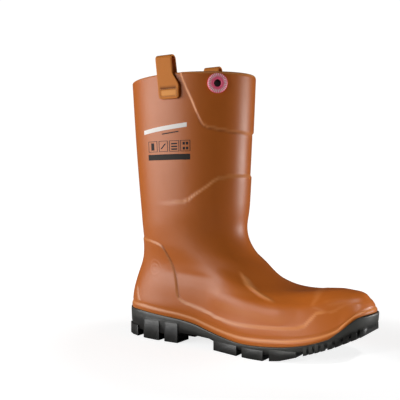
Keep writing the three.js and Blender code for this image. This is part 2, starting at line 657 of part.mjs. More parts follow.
function centreBlock ({ from, to, low, high, narrow }) {
  const outerSide = Math.abs(low) > Math.abs(high) ? -1 : 1
  const [start, end] = [lengthwise(from), lengthwise(to)]
  const lowShift = outerSide < 0 ? narrow : 0
  const highShift = outerSide > 0 ? narrow : 0
  const outline = [
    [start, (low + Math.max(lowShift, 0)) * HALF_BALL],
    [end, (low - Math.min(lowShift, 0)) * HALF_BALL],
    [end, (high + Math.min(highShift, 0)) * HALF_BALL],
    [start, (high - Math.max(highShift, 0)) * HALF_BALL]
  ]
  return planPrism(outline, -1, blockTop((from + to) / 2, 'root'))
}

function heelRimBlock ({ from, to, low, high, spread }) {
  const [start, end] = [lengthwise(from - 0.01), lengthwise(to)]
  const outline = [
    [start, (low - Math.min(spread, 0)) * HALF_BALL],
    [end, (low + Math.max(spread, 0)) * HALF_BALL],
    [end, (high + Math.min(spread, 0)) * HALF_BALL],
    [start, (high - Math.max(spread, 0)) * HALF_BALL]
  ]
  return planPrism(outline, -1, blockTop(to, 'root'))
}

// A pad with ring grooves, as on the heel and under the ball of the foot
function pad (size, rings) {
  const share = size.at
  let block = planPrism(roundedBox(size), -1, blockTop(share, 'root'))
  const halfWide = size.wide * HALF_BALL / 2
  for (const ring of rings) {
    const inset = halfWide * (1 - ring)
    const groove = planPrism(roundedBox(size, inset), -2, LUG_HEIGHT * 0.35)
      .subtract(planPrism(roundedBox(size, inset + GROOVE * 0.7), -3, LUG_HEIGHT))
    block = block.subtract(groove)
  }
  return block
}

function bars () {
  const pieces = []
  for (let i = 0; i < LONG_BARS.count; i++) {
    const from = LONG_BARS.first + i * LONG_BARS.pitch
    pieces.push(crossBar(from, LONG_BARS.width, -1.4, 1.4))
  }
  for (let i = 0; i < SHORT_BARS.count; i++) {
    const from = SHORT_BARS.first + i * SHORT_BARS.pitch
    pieces.push(crossBar(from, SHORT_BARS.width, -1.4, -SHORT_BARS.inner))
    pieces.push(crossBar(from, SHORT_BARS.width, SHORT_BARS.inner, 1.4))
  }
  return pieces
}

function crossBar (from, width, low, high, bottom = -1) {
  const [start, end] = [lengthwise(from), lengthwise(from + width)]
  const outline = [[start, low], [end, low], [end, high], [start, high]]
    .map(([x, y]) => [x, y * HALF_BALL])
  return planPrism(outline, bottom, blockTop(from, 'root'))
}

// The arch behind the toe bars, open to the heel
function toeArch () {
  const outside = planPrism(roundedBox(TOE_ARCH), -1, blockTop(TOE_ARCH.at, 'root'))
  const inside = {
    ...TOE_ARCH,
    at: TOE_ARCH.at - 0.04,
    wide: TOE_ARCH.wide - 0.24,
    long: TOE_ARCH.long + 0.03
  }
  return outside.subtract(planPrism(roundedBox(inside), -2, TOP))
}

function waistTread () {
  const bottom = WAIST_RISE * (1 - WAIST_RIBS.rise)
  const pieces = [planPrism(roundedBox(WAIST_PLATE), bottom, WAIST_RISE + 3)]
  for (let i = 0; i < WAIST_RIBS.count; i++) {
    const from = WAIST_RIBS.first + i * WAIST_RIBS.pitch
    pieces.push(crossBar(from, WAIST_RIBS.width, -WAIST_RIBS.half, WAIST_RIBS.half, bottom))
  }
  return pieces
}

// The sole: a body from the lugs' roots to the feather line, the tread under it and the footbed cut in
function outsoleSolid () {
  const foot = share => featherHeight(share) - GAP
  const body = loft([
    planRing(-LEDGE_STEP * 2, rootHeight),
    planRing(-LEDGE_STEP, share => mix(rootHeight(share), foot(share), 0.35)),
    planRing(-LEDGE_STEP * 0.5, share => mix(rootHeight(share), foot(share), 0.85)),
    planRing(-LEDGE_STEP, share => foot(share) + BEAD_TOP)
  ])
  const blocks = [
    ...SIDE_BLOCKS.map(sideBlock),
    ...CENTRE_BLOCKS.map(centreBlock),
    ...HEEL_RIM.map(heelRimBlock),
    pad(HEEL_PAD, PAD_RINGS.slice(0, 1)),
    pad(PIVOT_PAD, PAD_RINGS),
    toeArch(),
    ...bars()
  ]
  const envelope = loft([planRing(0, () => -1), planRing(0, foot)])
  const tread = union(blocks).intersect(envelope).intersect(above(groundHeight, GROUND.map(({ at }) => at)))
  const bed = insideRoom(0).intersect(above(bedHeight, bedPlaces))
  return union([body, tread, ...waistTread()]).subtract(bed).subtract(aboveFeather(GAP))
}

function insoleSolid () {
  const low = above(share => bedHeight(share) + GAP, bedPlaces)
  const high = above(share => bedHeight(share) + GAP + INSOLE_THICKNESS, bedPlaces)
  return insideRoom(GAP).intersect(low).subtract(high)
}

// A strap that goes over the rim at one side, from a wider foot outside to its end inside
function pullLoopSolid (side) {
  const rim = RIM_HEIGHT + RIM_FRONT_RISE / 2 + RIM_SIDE_RISE
  const half = COLLAR_WIDTH / 2
  const low = rim - STRAP_REACH
  const lean = half - mix(ANKLE_WIDTH, COLLAR_WIDTH, 0.84) / 2
  const outer = half + GAP + STRAP_THICKNESS
  const inner = half - WALL - GAP - STRAP_HANG - STRAP_THICKNESS
  const radius = (outer - inner) / 2
  const middle = (outer + inner) / 2
  const shoulder = rim + STRAP_RISE - radius
  const bend = (turn, grow) => [
    middle - Math.cos(turn) * (radius + grow),
    shoulder + Math.sin(turn) * (radius + grow)
  ]
  const turns = levelsBetween(0, Math.PI, 8)
  const profile = [
    [inner - lean, low],
    ...turns.map(turn => bend(turn, 0)),
    [outer, rim],
    [outer - lean, low],
    [outer - lean - STRAP_THICKNESS, low],
    [outer - STRAP_THICKNESS, rim],
    ...turns.map(turn => bend(Math.PI - turn, -STRAP_THICKNESS)),
    [inner - lean + STRAP_THICKNESS, low]
  ]
  const shape = new THREE.Shape(profile.map(([y, z]) => new THREE.Vector2(y, z)))
  const geometry = new THREE.ExtrudeGeometry(shape, { depth: 4 * STRAP_WIDTH, bevelEnabled: false })
  geometry.rotateX(Math.PI / 2).rotateZ(Math.PI / 2).translate(STRAP_CENTRE - 2 * STRAP_WIDTH, 0, 0)
  const band = fromGeometry(geometry)
  const outline = sidePrism(strapOutline(low, rim))
  return (side > 0 ? band : band.mirror([0, 1, 0])).intersect(outline)
}

// The strap seen from the side: a straight band that widens to a round cornered foot
function strapOutline (low, rim) {
  const top = rim + STRAP_RISE + STRAP_THICKNESS
  const half = STRAP_WIDTH / 2
  const foot = STRAP_FOOT_WIDTH / 2
  const centre = STRAP_CENTRE + STRAP_FOOT_SHIFT
  const round = STRAP_THICKNESS * 2
  const corner = (sign, start) => levelsBetween(start, start + Math.PI / 2, 3).map(turn => [
    centre + sign * (foot - round) + Math.cos(turn) * round,
    low + GAP + round + Math.sin(turn) * round
  ])
  return [
    [STRAP_CENTRE - half, top],
    [STRAP_CENTRE - half + STRAP_FOOT_SHIFT * 0.35, rim],
    ...corner(-1, Math.PI),
    ...corner(1, 1.5 * Math.PI),
    [centre + foot, low + STRAP_REACH * 0.55],
    [STRAP_CENTRE + half + STRAP_FOOT_SHIFT * 0.35, rim],
    [STRAP_CENTRE + half, top]
  ]
}

// Where the badge sits on the shin panel, and the way it faces
const badgeLevel = RIM_HEIGHT - BADGE_DROP
const badgeTurn = THREE.MathUtils.degToRad(-BADGE_ANGLE)
const badgeSeat = offsetPoint(badgeLevel, badgeTurn, PANEL_STEP)
const badgeFace = offsetPoint(badgeLevel, badgeTurn, PANEL_STEP + 1).sub(badgeSeat).normalize()

function badgePiece (profile) {
  const geometry = new THREE.LatheGeometry(profile.map(([x, y]) => new THREE.Vector2(x, y)), 24)
  const turn = new THREE.Quaternion().setFromUnitVectors(new THREE.Vector3(0, 1, 0), badgeFace)
  geometry.applyQuaternion(turn).translate(badgeSeat.x, badgeSeat.y, badgeSeat.z)
  const backing = raised(PANEL_STEP + GAP, levelsBetween(RIM_HEIGHT * 0.86, RIM_HEIGHT, 2))
  return fromGeometry(geometry).subtract(backing)
}

function badgeRingSolid () {
  const deep = -BADGE_RADIUS / 3
  return badgePiece([
    [BADGE_HOLE, deep],
    [BADGE_RADIUS, deep],
    [BADGE_RADIUS, BADGE_THICKNESS * 0.5],
    [BADGE_RADIUS * 0.92, BADGE_THICKNESS * 0.85],
    [BADGE_RADIUS * 0.7, BADGE_THICKNESS],
    [BADGE_HOLE * 1.15, BADGE_THICKNESS],
    [BADGE_HOLE, BADGE_THICKNESS * 0.85],
    [BADGE_HOLE, deep]
  ])
}

function badgePlugSolid () {
  const radius = BADGE_HOLE - GAP
  return badgePiece([
    [0, -BADGE_RADIUS / 3],
    [radius, -BADGE_RADIUS / 3],
    [radius, BADGE_THICKNESS * 0.45],
    [radius * 0.6, BADGE_THICKNESS * 0.7],
    [0, BADGE_THICKNESS * 0.78]
  ])
}

const BROWN = { color: 0xb57248, roughness: 0.62, metalness: 0 }
const STRAP = { color: 0xc9824e, roughness: 0.7, metalness: 0 }
const BLACK = { color: 0x2e2c2b, roughness: 0.75, metalness: 0 }
const GREY = { color: 0x55504c, roughness: 0.9, metalness: 0 }
const PINK = { color: 0xd07a86, roughness: 0.5, metalness: 0 }

function named (name, piece, look) {
  const mesh = piece.getMesh()
  const geometry = new THREE.BufferGeometry()
  geometry.setAttribute('position', new THREE.BufferAttribute(new Float32Array(mesh.vertProperties), 3))
  geometry.setIndex(new THREE.BufferAttribute(new Uint32Array(mesh.triVerts), 1))
  geometry.computeVertexNormals()
  const part = new THREE.Mesh(geometry, new THREE.MeshStandardMaterial(look))
  part.name = name
  return part
}

const boot = new THREE.Group()
boot.add(
  named('upper', upperSolid(), BROWN),
  named('outsole', outsoleSolid(), BLACK),
  named('insole', insoleSolid(), GREY),
  named('pull_loop_outer', pullLoopSolid(-1), STRAP),
  named('pull_loop_inner', pullLoopSolid(1), STRAP),
  named('badge_ring', badgeRingSolid(), PINK),
  named('badge_plug', badgePlugSolid(), BLACK)
)

export default boot
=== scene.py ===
import math

import bmesh
import bpy
import numpy as np
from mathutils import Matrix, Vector


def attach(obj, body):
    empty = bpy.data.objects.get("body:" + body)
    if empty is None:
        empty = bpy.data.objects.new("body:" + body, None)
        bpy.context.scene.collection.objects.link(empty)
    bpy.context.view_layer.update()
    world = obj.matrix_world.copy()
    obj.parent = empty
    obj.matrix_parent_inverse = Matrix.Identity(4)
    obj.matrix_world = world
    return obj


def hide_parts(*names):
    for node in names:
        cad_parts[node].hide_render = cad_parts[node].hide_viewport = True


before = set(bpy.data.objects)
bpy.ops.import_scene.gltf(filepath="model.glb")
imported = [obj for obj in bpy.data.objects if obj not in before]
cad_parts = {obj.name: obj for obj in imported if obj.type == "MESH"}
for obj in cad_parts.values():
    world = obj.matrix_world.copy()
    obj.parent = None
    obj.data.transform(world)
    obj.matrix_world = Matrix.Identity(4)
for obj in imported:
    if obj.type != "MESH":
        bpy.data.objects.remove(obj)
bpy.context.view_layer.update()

MM = 0.001


# The view and the studio. The boot stands on a white sweep and is seen from its outer side and a little
# from the front, by a camera as high as the lower part of the shaft. Soft panels to both sides leave a
# darker band between their reflections, as on the photographed boot.
VIEW_TURN = math.radians(33.69)
VIEW_TILT = 0.0314
VIEW_DISTANCE = 800.0
VIEW_HEIGHT = 188.5
VIEW_TARGET_X = 55.4
LENS = 60.57
SENSOR = 36.0

camera = bpy.data.objects.new("camera", bpy.data.cameras.new("camera"))
camera.data.lens = LENS
camera.data.sensor_width = SENSOR
camera.location = (
    (VIEW_TARGET_X + VIEW_DISTANCE * math.sin(VIEW_TURN)) * MM,
    -VIEW_DISTANCE * math.cos(VIEW_TURN) * MM,
    VIEW_HEIGHT * MM,
)
camera.rotation_euler = (math.pi / 2 - VIEW_TILT, 0, VIEW_TURN)
camera.data.clip_start = 0.01
camera.data.clip_end = 100
bpy.context.scene.collection.objects.link(camera)
bpy.context.scene.camera = camera
bpy.context.scene.view_settings.view_transform = "Standard"

ACROSS = Vector((math.cos(VIEW_TURN), math.sin(VIEW_TURN), 0))
TOWARDS = Vector((math.sin(VIEW_TURN), -math.cos(VIEW_TURN), 0))
AIM = Vector((0.06, 0, 0.15))
VAMP_AIM = Vector((0.200, -0.045, 0.040))
TOE_AIM = Vector((0.258, -0.02, 0.056))


def soft_panel(name, across, towards, up, width, height, watts, aim=AIM, spread=180):
    """A flat light placed across, towards and above the boot as the camera sees it, in metres."""
    light = bpy.data.lights.new(name, "AREA")
    light.shape = "RECTANGLE"
    light.size = width
    light.size_y = height
    light.energy = watts
    light.spread = math.radians(spread)
    panel = bpy.data.objects.new(name, light)
    panel.location = AIM + ACROSS * across + TOWARDS * towards + Vector((0, 0, up))
    panel.rotation_euler = (aim - panel.location).to_track_quat("-Z", "Y").to_euler()
    bpy.context.scene.collection.objects.link(panel)


# The last two have a narrow beam of so many degrees, for the light on the vamp's side and on the toe
soft_panel("panel_left", -1.33, 0.28, 0.14, 1.4, 0.9, 24.5)
soft_panel("panel_right", 1.33, 0.19, 0.02, 0.70, 0.38, 14.0)
soft_panel("panel_vamp", -0.65, 1.03, 0.33, 0.12, 0.12, 0.018, VAMP_AIM, 7)
soft_panel("panel_toe", 0.61, 0.60, 0.92, 0.12, 0.12, 0.015, TOE_AIM, 6)


def new_node(tree, kind, inputs=None, **settings):
    """A shader node with its settings, its input values and, where an input is a socket, its links."""
    node = tree.nodes.new(kind)
    for name, value in settings.items():
        setattr(node, name, value)
    for name, value in (inputs or {}).items():
        if isinstance(value, bpy.types.NodeSocket):
            tree.links.new(value, node.inputs[name])
        else:
            node.inputs[name].default_value = value
    return node


def times(tree, value, factor):
    """A value multiplied by a factor."""
    return new_node(tree, "ShaderNodeMath", {0: value, 1: factor}, operation="MULTIPLY").outputs[0]


def new_material(name):
    """A material, its node tree and its main shader."""
    material = bpy.data.materials.new(name)
    material.use_nodes = True
    return material, material.node_tree, material.node_tree.nodes["Principled BSDF"]


# The surround is white to the camera and dim to the boot, so that the panels alone shape it
SURROUND_ON_BOOT = 0.04
SURROUND_TO_CAMERA = 1.05
world = bpy.data.worlds.new("studio")
world.use_nodes = True
surround = world.node_tree
seen = new_node(surround, "ShaderNodeLightPath").outputs["Is Camera Ray"]
strength = new_node(surround, "ShaderNodeMapRange", {
    "Value": seen, "To Min": SURROUND_ON_BOOT, "To Max": SURROUND_TO_CAMERA,
})
surround.nodes["Background"].inputs["Color"].default_value = (1, 1, 1, 1)
surround.links.new(strength.outputs["Result"], surround.nodes["Background"].inputs["Strength"])
bpy.context.scene.world = world

# The floor glows to the camera alone: light grey near the boot and white farther out, by
# metres from its middle
FLOOR_HALF = 6.0
FLOOR_MIDDLE = (0.12, 0, 0)
FLOOR_GREY_TO = 0.19
FLOOR_WHITE_FROM = 0.46
FLOOR_GREY = 0.79
FLOOR_WHITE = 1.05
floor_mesh = bpy.data.meshes.new("floor")
floor_corners = [(x * FLOOR_HALF, y * FLOOR_HALF, 0) for x, y in ((-1, -1), (1, -1), (1, 1), (-1, 1))]
floor_mesh.from_pydata(floor_corners, [], [(0, 1, 2, 3)])
floor = bpy.data.objects.new("floor", floor_mesh)
bpy.context.scene.collection.objects.link(floor)
floor_paint, floor_tree, paint = new_material("floor_paint")
paint.inputs["Base Color"].default_value = (0.5, 0.5, 0.5, 1)
paint.inputs["Roughness"].default_value = 0.95
paint.inputs["Specular IOR Level"].default_value = 0.0
paint.inputs["Emission Color"].default_value = (1, 1, 1, 1)
glow = new_node(floor_tree, "ShaderNodeLightPath").outputs["Is Camera Ray"]
floor_place = new_node(floor_tree, "ShaderNodeTexCoord").outputs["Object"]
reach = new_node(floor_tree, "ShaderNodeVectorMath", {0: floor_place, 1: FLOOR_MIDDLE}, operation="DISTANCE")
fade = new_node(floor_tree, "ShaderNodeMapRange", {
    "Value": reach.outputs["Value"], "From Min": FLOOR_GREY_TO, "From Max": FLOOR_WHITE_FROM,
    "To Min": FLOOR_GREY, "To Max": FLOOR_WHITE,
})
floor_tree.links.new(times(floor_tree, glow, fade.outputs["Result"]), paint.inputs["Emission Strength"])
floor_mesh.materials.append(floor_paint)


# The upper: one moulded shell of tan foamed rubber, open at the collar and closed underneath by the sole.
# Its loops run around the foot level by level, from the sole's feather line to the rim. Shin panel, shaft
# panel, counter, rand, bead and toe cap are soft steps in its wall; ridges and creases are low waves on it.
SOLE_LENGTH = 310.0
BALL_WIDTH = 112.0
HEEL_BACK = 40.0
FEATHER_BACK = 31.5
FEATHER_BALL = 13.8
FEATHER_TIP = 50.8
SOLE_EDGE = 4.2
THROAT_HEIGHT = 150.0
TOE_HEIGHT = 74.0
ANKLE_DEPTH = 140.4
ANKLE_WIDTH = 93.8
ANKLE_CENTRE = 46.4
RIM_HEIGHT = 304.0
COLLAR_DEPTH = 160.6
COLLAR_WIDTH = 105.8
COLLAR_CENTRE = 43.9
RIM_FRONT_RISE = 2.5
RIM_SIDE_RISE = 1.8
WALL = 4.0
HALF_BALL = BALL_WIDTH / 2

# Levels of the foot: each size is a share, as the column names say
LEVEL_COLUMNS = (
    "rise back front toe instep wide tail heel waist ball cap tip plan skew swing low mid high"
).split()
FOOT_LEVELS = [
    (0, 0, 1, 0, 0, BALL_WIDTH, 1.32, 1.036, 0.679, 0.946, 1.134, 1.268,
     1, 1, 1, 0, 0, 0),
    (0.097, 0.014, 0.981, 0.3, 0, BALL_WIDTH, 1.286, 1.018, 0.705, 0.946, 1.089, 1.196,
     0, 0.87, 1, 0, 0, -0.014),
    (0.19, 0.018, 0.966, 0.61, 0, BALL_WIDTH, 1.214, 0.982, 0.732, 0.92, 1.009, 1.071,
     0, 0.59, 1, 0, -0.027, -0.041),
    (0.274, 0.026, 0.939, 0.92, 0, BALL_WIDTH, 1.125, 0.946, 0.741, 0.875, 0.938, 0.964,
     0, 0.29, 1, 0, -0.068, -0.09),
    (0.35, 0.035, 0.888, 0.98, 0, BALL_WIDTH, 1.027, 0.902, 0.732, 0.821, 0.848, 0.848,
     0, 0.08, 0.7, 0, -0.088, -0.135),
    (0.409, 0.0432, 0.816, 0.85, 0, BALL_WIDTH, 0.946, 0.857, 0.714, 0.759, 0.777, 0.741,
     0, 0, 0.4, 0.04, 0.015, -0.07),
    (0.46, 0.0503, 0.739, 0.765, 0, BALL_WIDTH, 0.884, 0.812, 0.716, 0.732, 0.735, 0.68,
     0, 0, 0.2, 0.085, 0.095, 0.015),
    (0.519, 0.0567, 0.666, 1, 0.013, BALL_WIDTH, 0.83, 0.78, 0.722, 0.722, 0.7, 0.66,
     0, 0, 0, 0.081, 0.118, 0.055),
    (0.595, 0.0609, 0.602, 1, 0.18, BALL_WIDTH, 0.806, 0.773, 0.745, 0.735, 0.702, 0.68,
     0, 0, 0, 0.054, 0.088, 0.101),
    (0.679, 0.0627, 0.553, 1, 0.349, BALL_WIDTH, 0.812, 0.79, 0.775, 0.755, 0.712, 0.69,
     0, 0, 0, 0.034, 0.054, 0.068),
    (0.772, 0.0604, 0.518, 1, 0.553, ANKLE_WIDTH, 0.98, 0.97, 0.95, 0.93, 0.872, 0.84,
     0, 0, 0, 0.02, 0.034, 0.034),
    (0.882, 0.0565, 0.503, 1, 0.763, ANKLE_WIDTH, 0.99, 0.99, 0.98, 0.965, 0.93, 0.905,
     0, 0, 0, 0.007, 0.014, 0.014),
]
SHAFT_FLARE = [(0, 0), (0.162, 0.2), (0.455, 0.52), (0.747, 0.79), (1, 1)]
STATION_AT = [0, 0.13, 0.38, 0.63, 0.85, 1]
STATION_SKEW = np.array([0, 0, -0.054, -0.036, 0.027, 0.036])
STATION_SWING = np.array([0, 0, 0, 0, 0.063, 0.143])

# The sole's plan and the feather line, by share of the sole's length
PLAN = [
    (0, 1.38, 1.38, 0), (0.13, 1.075, 1.075, 0), (0.38, 0.77, 0.67, 0), (0.63, 1.03, 0.955, 0),
    (0.73, 1.1, 1.085, 0.018), (0.85, 1.17, 1.215, 0.063), (0.93, 1.22, 1.29, 0.107),
    (1, 1.28, 1.33, 0.143),
]
FEATHER = [
    (0, 1, 0), (0.12, 1.015, 0), (0.21, 0.905, 0), (0.3, 0.78, 0), (0.366, 0.61, 0), (0.428, 0.35, 0),
    (0.492, 0.158, 0), (0.589, 0, 0), (0.72, 0, 0.046), (0.8, 0, 0.138), (0.862, 0, 0.284),
    (0.904, 0, 0.465), (0.93, 0, 0.708), (0.955, 0, 0.911), (0.979, 0, 0.989), (1, 0, 1),
]


def curve_weights(knots, places):
    """For each place, the share of each knot's value in the smooth curve through them."""
    knots = np.asarray(knots, float)
    at = np.clip(np.asarray(places, float), knots[0], knots[-1])
    count = len(knots)
    gap = np.diff(knots)
    rise = np.zeros((count - 1, count))
    rise[np.arange(count - 1), np.arange(count - 1)] = -1 / gap
    rise[np.arange(count - 1), np.arange(1, count)] = 1 / gap
    lean = np.zeros((count, count))
    lean[0], lean[-1] = rise[0], rise[-1]
    for k in range(1, count - 1):
        after = gap[k] / (gap[k - 1] + gap[k])
        lean[k] = rise[k - 1] * (1 - after) + rise[k] * after
    i = np.clip(np.searchsorted(knots, at, side="right") - 1, 0, count - 2)
    t = ((at - knots[i]) / gap[i])[..., None]
    one = np.eye(count)
    value = one[i] * (1 + 2 * t) * (1 - t) ** 2 + one[i + 1] * t * t * (3 - 2 * t)
    return value + gap[i][..., None] * (lean[i] * t * (1 - t) ** 2 + lean[i + 1] * t * t * (t - 1))


def soft_step(value):
    """0 below 0, 1 above 1 and a smooth rise between."""
    t = np.clip(value, 0, 1)
    return t * t * (3 - 2 * t)


def mix(start, end, share):
    """The value at a share of the way from start to end."""
    return start + (end - start) * share


def along_sole(share):
    """The place along the boot, in millimetres, at a share of the sole's length."""
    return -HEEL_BACK + share * SOLE_LENGTH


def build_loops():
    """Heights at the back of all loops, and for each loop its sizes in millimetres."""
    heights, loops = [], []
    for values in FOOT_LEVELS:
        v = dict(zip(LEVEL_COLUMNS, values))
        half = v["wide"] / 2
        lowest = v["plan"] == 1
        heights.append(mix(FEATHER_BACK, THROAT_HEIGHT, v["rise"]))
        back = along_sole(0) + SOLE_EDGE if lowest else along_sole(v["back"])
        front = along_sole(1) - SOLE_EDGE if lowest else along_sole(v["front"])
        front_height = mix(mix(FEATHER_TIP, TOE_HEIGHT, v["toe"]), THROAT_HEIGHT, v["instep"])
        widths = [v[name] * half for name in ("tail", "heel", "waist", "ball", "cap", "tip")]
        lifts = [v[name] * TOE_HEIGHT for name in ("low", "mid", "high")]
        loops.append([back, front, front_height, *widths, v["plan"], v["skew"], v["swing"], *lifts])
    for up, grown in SHAFT_FLARE:
        height = mix(THROAT_HEIGHT, RIM_HEIGHT, up)
        half = mix(ANKLE_WIDTH, COLLAR_WIDTH, grown) / 2
        depth = mix(ANKLE_DEPTH, COLLAR_DEPTH, grown)
        centre = mix(ANKLE_CENTRE, COLLAR_CENTRE, grown)
        heights.append(height)
        front_height = height + up * RIM_FRONT_RISE
        loops.append([centre - depth / 2, centre + depth / 2, front_height, *[half] * 6, 0, 0, 0, 0, 0, 0])
    return np.array(heights), np.array(loops)


LOOP_HEIGHTS, LOOPS = build_loops()
# Up to this level the loops follow the dips of the feather line
FOLLOWS_FEATHER = mix(FEATHER_BACK, THROAT_HEIGHT, FOOT_LEVELS[5][0])


def feather_height(share):
    """Height of the line where the upper meets the sole, at a share of the sole's length."""
    weights = curve_weights([row[0] for row in FEATHER], share)
    heel = weights @ np.array([row[1] for row in FEATHER])
    toe = weights @ np.array([row[2] for row in FEATHER])
    return FEATHER_BALL + heel * (FEATHER_BACK - FEATHER_BALL) + toe * (FEATHER_TIP - FEATHER_BALL)


def upper_form(level, angle):
    """Points of the upper's outside, by level, a height at the back, and angle, 0 at heel and pi at toe."""
    level, angle = np.broadcast_arrays(np.asarray(level, float), np.asarray(angle, float))
    row = curve_weights(LOOP_HEIGHTS, level) @ LOOPS
    back, front, front_height = row[..., 0], row[..., 1], row[..., 2]
    share = (1 - np.cos(angle)) / 2
    side = np.where(np.sin(angle) < 0, -1.0, 1.0)
    station = curve_weights(STATION_AT, share)
    own = (row[..., 3:9] * station).sum(-1) + side * row[..., 10] * HALF_BALL * (station @ STATION_SKEW)
    plan = curve_weights([p[0] for p in PLAN], share)
    outer, inner, middle = (plan @ np.array([p[k] for p in PLAN]) * HALF_BALL for k in (1, 2, 3))
    half = mix(own, np.where(side < 0, outer, inner) - SOLE_EDGE, row[..., 9])
    centre = mix((station @ STATION_SWING) * HALF_BALL * row[..., 11], middle, row[..., 9])
    followed = soft_step((FOLLOWS_FEATHER - level) / (FOLLOWS_FEATHER - FEATHER_BACK))
    rim = np.clip((level - THROAT_HEIGHT) / (RIM_HEIGHT - THROAT_HEIGHT), 0, 1) ** 2
    x = back + (front - back) * share
    dip = feather_height((x + HEEL_BACK) / SOLE_LENGTH) - mix(FEATHER_BACK, FEATHER_TIP, share)
    lift = (row[..., 12:15] * station[..., 2:5]).sum(-1)
    z = mix(level, front_height, share) + lift + followed * dip + rim * RIM_SIDE_RISE * np.sin(angle) ** 2
    return np.stack([x, centre + half * np.sin(angle), z], -1)


NORMAL_STEP = 0.01


def upper_normal(level, angle):
    """The way straight out from the upper's outside, of length 1."""
    above = upper_form(np.minimum(level + NORMAL_STEP, RIM_HEIGHT), angle)
    below = upper_form(np.maximum(level - NORMAL_STEP, FEATHER_BACK), angle)
    around = upper_form(level, angle + NORMAL_STEP) - upper_form(level, angle - NORMAL_STEP)
    normal = np.cross(above - below, around)
    return normal / np.linalg.norm(normal, axis=-1, keepdims=True)


def rounded(outline, per_side=5):
    """A chain of corners turned into a smooth chain that still passes through them."""
    outline = np.array(outline, float)
    knots = np.concatenate([[0], np.cumsum(np.linalg.norm(np.diff(outline, axis=0), axis=1))])
    places = np.concatenate([np.linspace(a, b, per_side, endpoint=False) for a, b in zip(knots, knots[1:])])
    return curve_weights(knots, np.append(places, knots[-1])) @ outline


def distance_to(points, chain):
    """The least distance of each point to a chain, and how far along the chain that is, from 0 to 1."""
    best = np.full(points.shape[:-1], 1e9)
    place = np.zeros(points.shape[:-1])
    lengths = np.linalg.norm(np.diff(chain, axis=0), axis=1)
    starts = np.concatenate([[0], np.cumsum(lengths)])
    for k, (a, b) in enumerate(zip(chain, chain[1:])):
        t = np.clip(((points - a) @ (b - a)) / max(lengths[k] ** 2, 1e-9), 0, 1)
        far = np.linalg.norm(points - a - t[..., None] * (b - a), axis=-1)
        nearer = far < best
        best = np.where(nearer, far, best)
        place = np.where(nearer, (starts[k] + t * lengths[k]) / starts[-1], place)
    return best, place


def depth_inside(points, outline):
    """How far each point lies inside a closed outline; outside it is negative."""
    ring = np.vstack([outline, outline[:1]])
    far, _ = distance_to(points, ring)
    inside = np.zeros(points.shape[:-1], bool)
    for a, b in zip(ring, ring[1:]):
        crosses = (a[1] > points[..., 1]) != (b[1] > points[..., 1])
        slope = np.where(b[1] == a[1], 1e-9, b[1] - a[1])
        inside ^= crosses & (points[..., 0] < a[0] + (points[..., 1] - a[1]) * (b[0] - a[0]) / slope)
    return np.where(inside, far, -far)


# Panel edges in side view: shares of the sole's length and throat's height on the foot, and of the collar's
# depth and rim's height on the shaft
RAND_EDGE = [
    (-0.1, 0.8), (0.084, 0.78), (0.155, 0.77), (0.222, 0.738), (0.247, 0.668), (0.271, 0.567),
    (0.289, 0.457), (0.299, 0.36), (0.325, 0.322), (0.419, 0.28), (0.494, 0.24), (0.571, 0.223),
    (0.677, 0.225), (0.758, 0.236), (0.8, 0.251), (0.821, 0.297), (0.839, 0.343), (0.885, 0.362),
    (0.923, 0.405), (1.1, 0.43),
]
CAP_EDGE = [
    (0.8, 0.385), (0.812, 0.433), (0.806, 0.54), (1.1, 0.54), (1.1, 0.3), (0.9, 0.355), (0.85, 0.352),
]
SHIN_EDGE = [
    (0.6, 1.2), (0.624, 1.011), (0.657, 0.96), (0.696, 0.914), (0.733, 0.863), (0.757, 0.832),
    (0.776, 0.817), (0.8, 0.809), (0.84, 0.804), (0.966, 0.789), (1.2, 0.78), (1.2, 1.2),
]
SHAFT_EDGE = [
    (-0.15, 0.528), (0.42, 0.53), (0.556, 0.533), (0.65, 0.541), (0.706, 0.562), (0.79, 0.594),
    (0.83, 0.613), (0.875, 0.625), (1.2, 0.628), (1.2, 0.3), (-0.15, 0.3),
]
RAND_STEP = 1.0
PANEL_STEP = 1.4
STEP_WIDTH = 1.6
SIDE_LEDGE = 22.3
CAP_HINGE = 0.8
CAP_TURN = 0.17
CAP_STEP = 0.55
CAP_SOFTNESS = 3.6
CREVICE_DEPTH = 0.2
CREVICE_HALF = 1.1
CREVICE_SHIFT = 1.5

# The shaft panel's step fades out towards the back, by share of the way to the toe, and towards the
# instep, by share of the throat's height
SHAFT_STEP_FROM = 0.3
SHAFT_STEP_FADE = 0.35
SHAFT_STEP_LOW = 0.86
SHAFT_STEP_LOW_FADE = 0.22

# The bead along the feather line and the groove over it. Their places are shares of the bead's top
BEAD_STEP = 2.0
BEAD_TOP = 7.0
BEAD_MIDDLE = 0.45
BEAD_HALF = 0.62
GROOVE_PLACE = 1.22
GROOVE_DEPTH = 0.35
GROOVE_HALF = 1.0

# The rim's outer edge is rounded over, most of all at the front, by share of the way to the toe
RIM_ROUND_SIDE = 1.6
RIM_ROUND_FRONT = 4.2
RIM_ROUND_DEPTH = 0.8
RIM_FRONT_FROM = 0.55
RIM_FRONT_FADE = 0.4

# Ridges and a hollow on both sides: chains of side view points, then their height and half width
INSTEP_RIDGE = [
    (129, 87), (132, 83.4), (138, 78.2), (144, 73.4), (152, 69.0), (161, 64.7), (169, 61.5), (177, 59.0),
]
HEEL_RIDGE = [(-17, 60), (-14, 53), (-10, 45), (-6, 40)]
VAMP_SWELL = [(92, 60), (120, 58), (150, 54), (178, 50), (200, 50)]
VAMP_HOLLOW = [(112, 84), (132, 75), (155, 67), (180, 61)]
FACET_RIDGE = [(222, 60), (234, 62.5), (246, 64.5), (260, 66.0)]
RIDGES = [
    (INSTEP_RIDGE, 1.2, 1.5),
    (HEEL_RIDGE, 0.9, 1.6),
    (VAMP_SWELL, 1.3, 10.0),
    (VAMP_HOLLOW, -0.3, 7.0),
    (FACET_RIDGE, 0.55, 2.6),
]

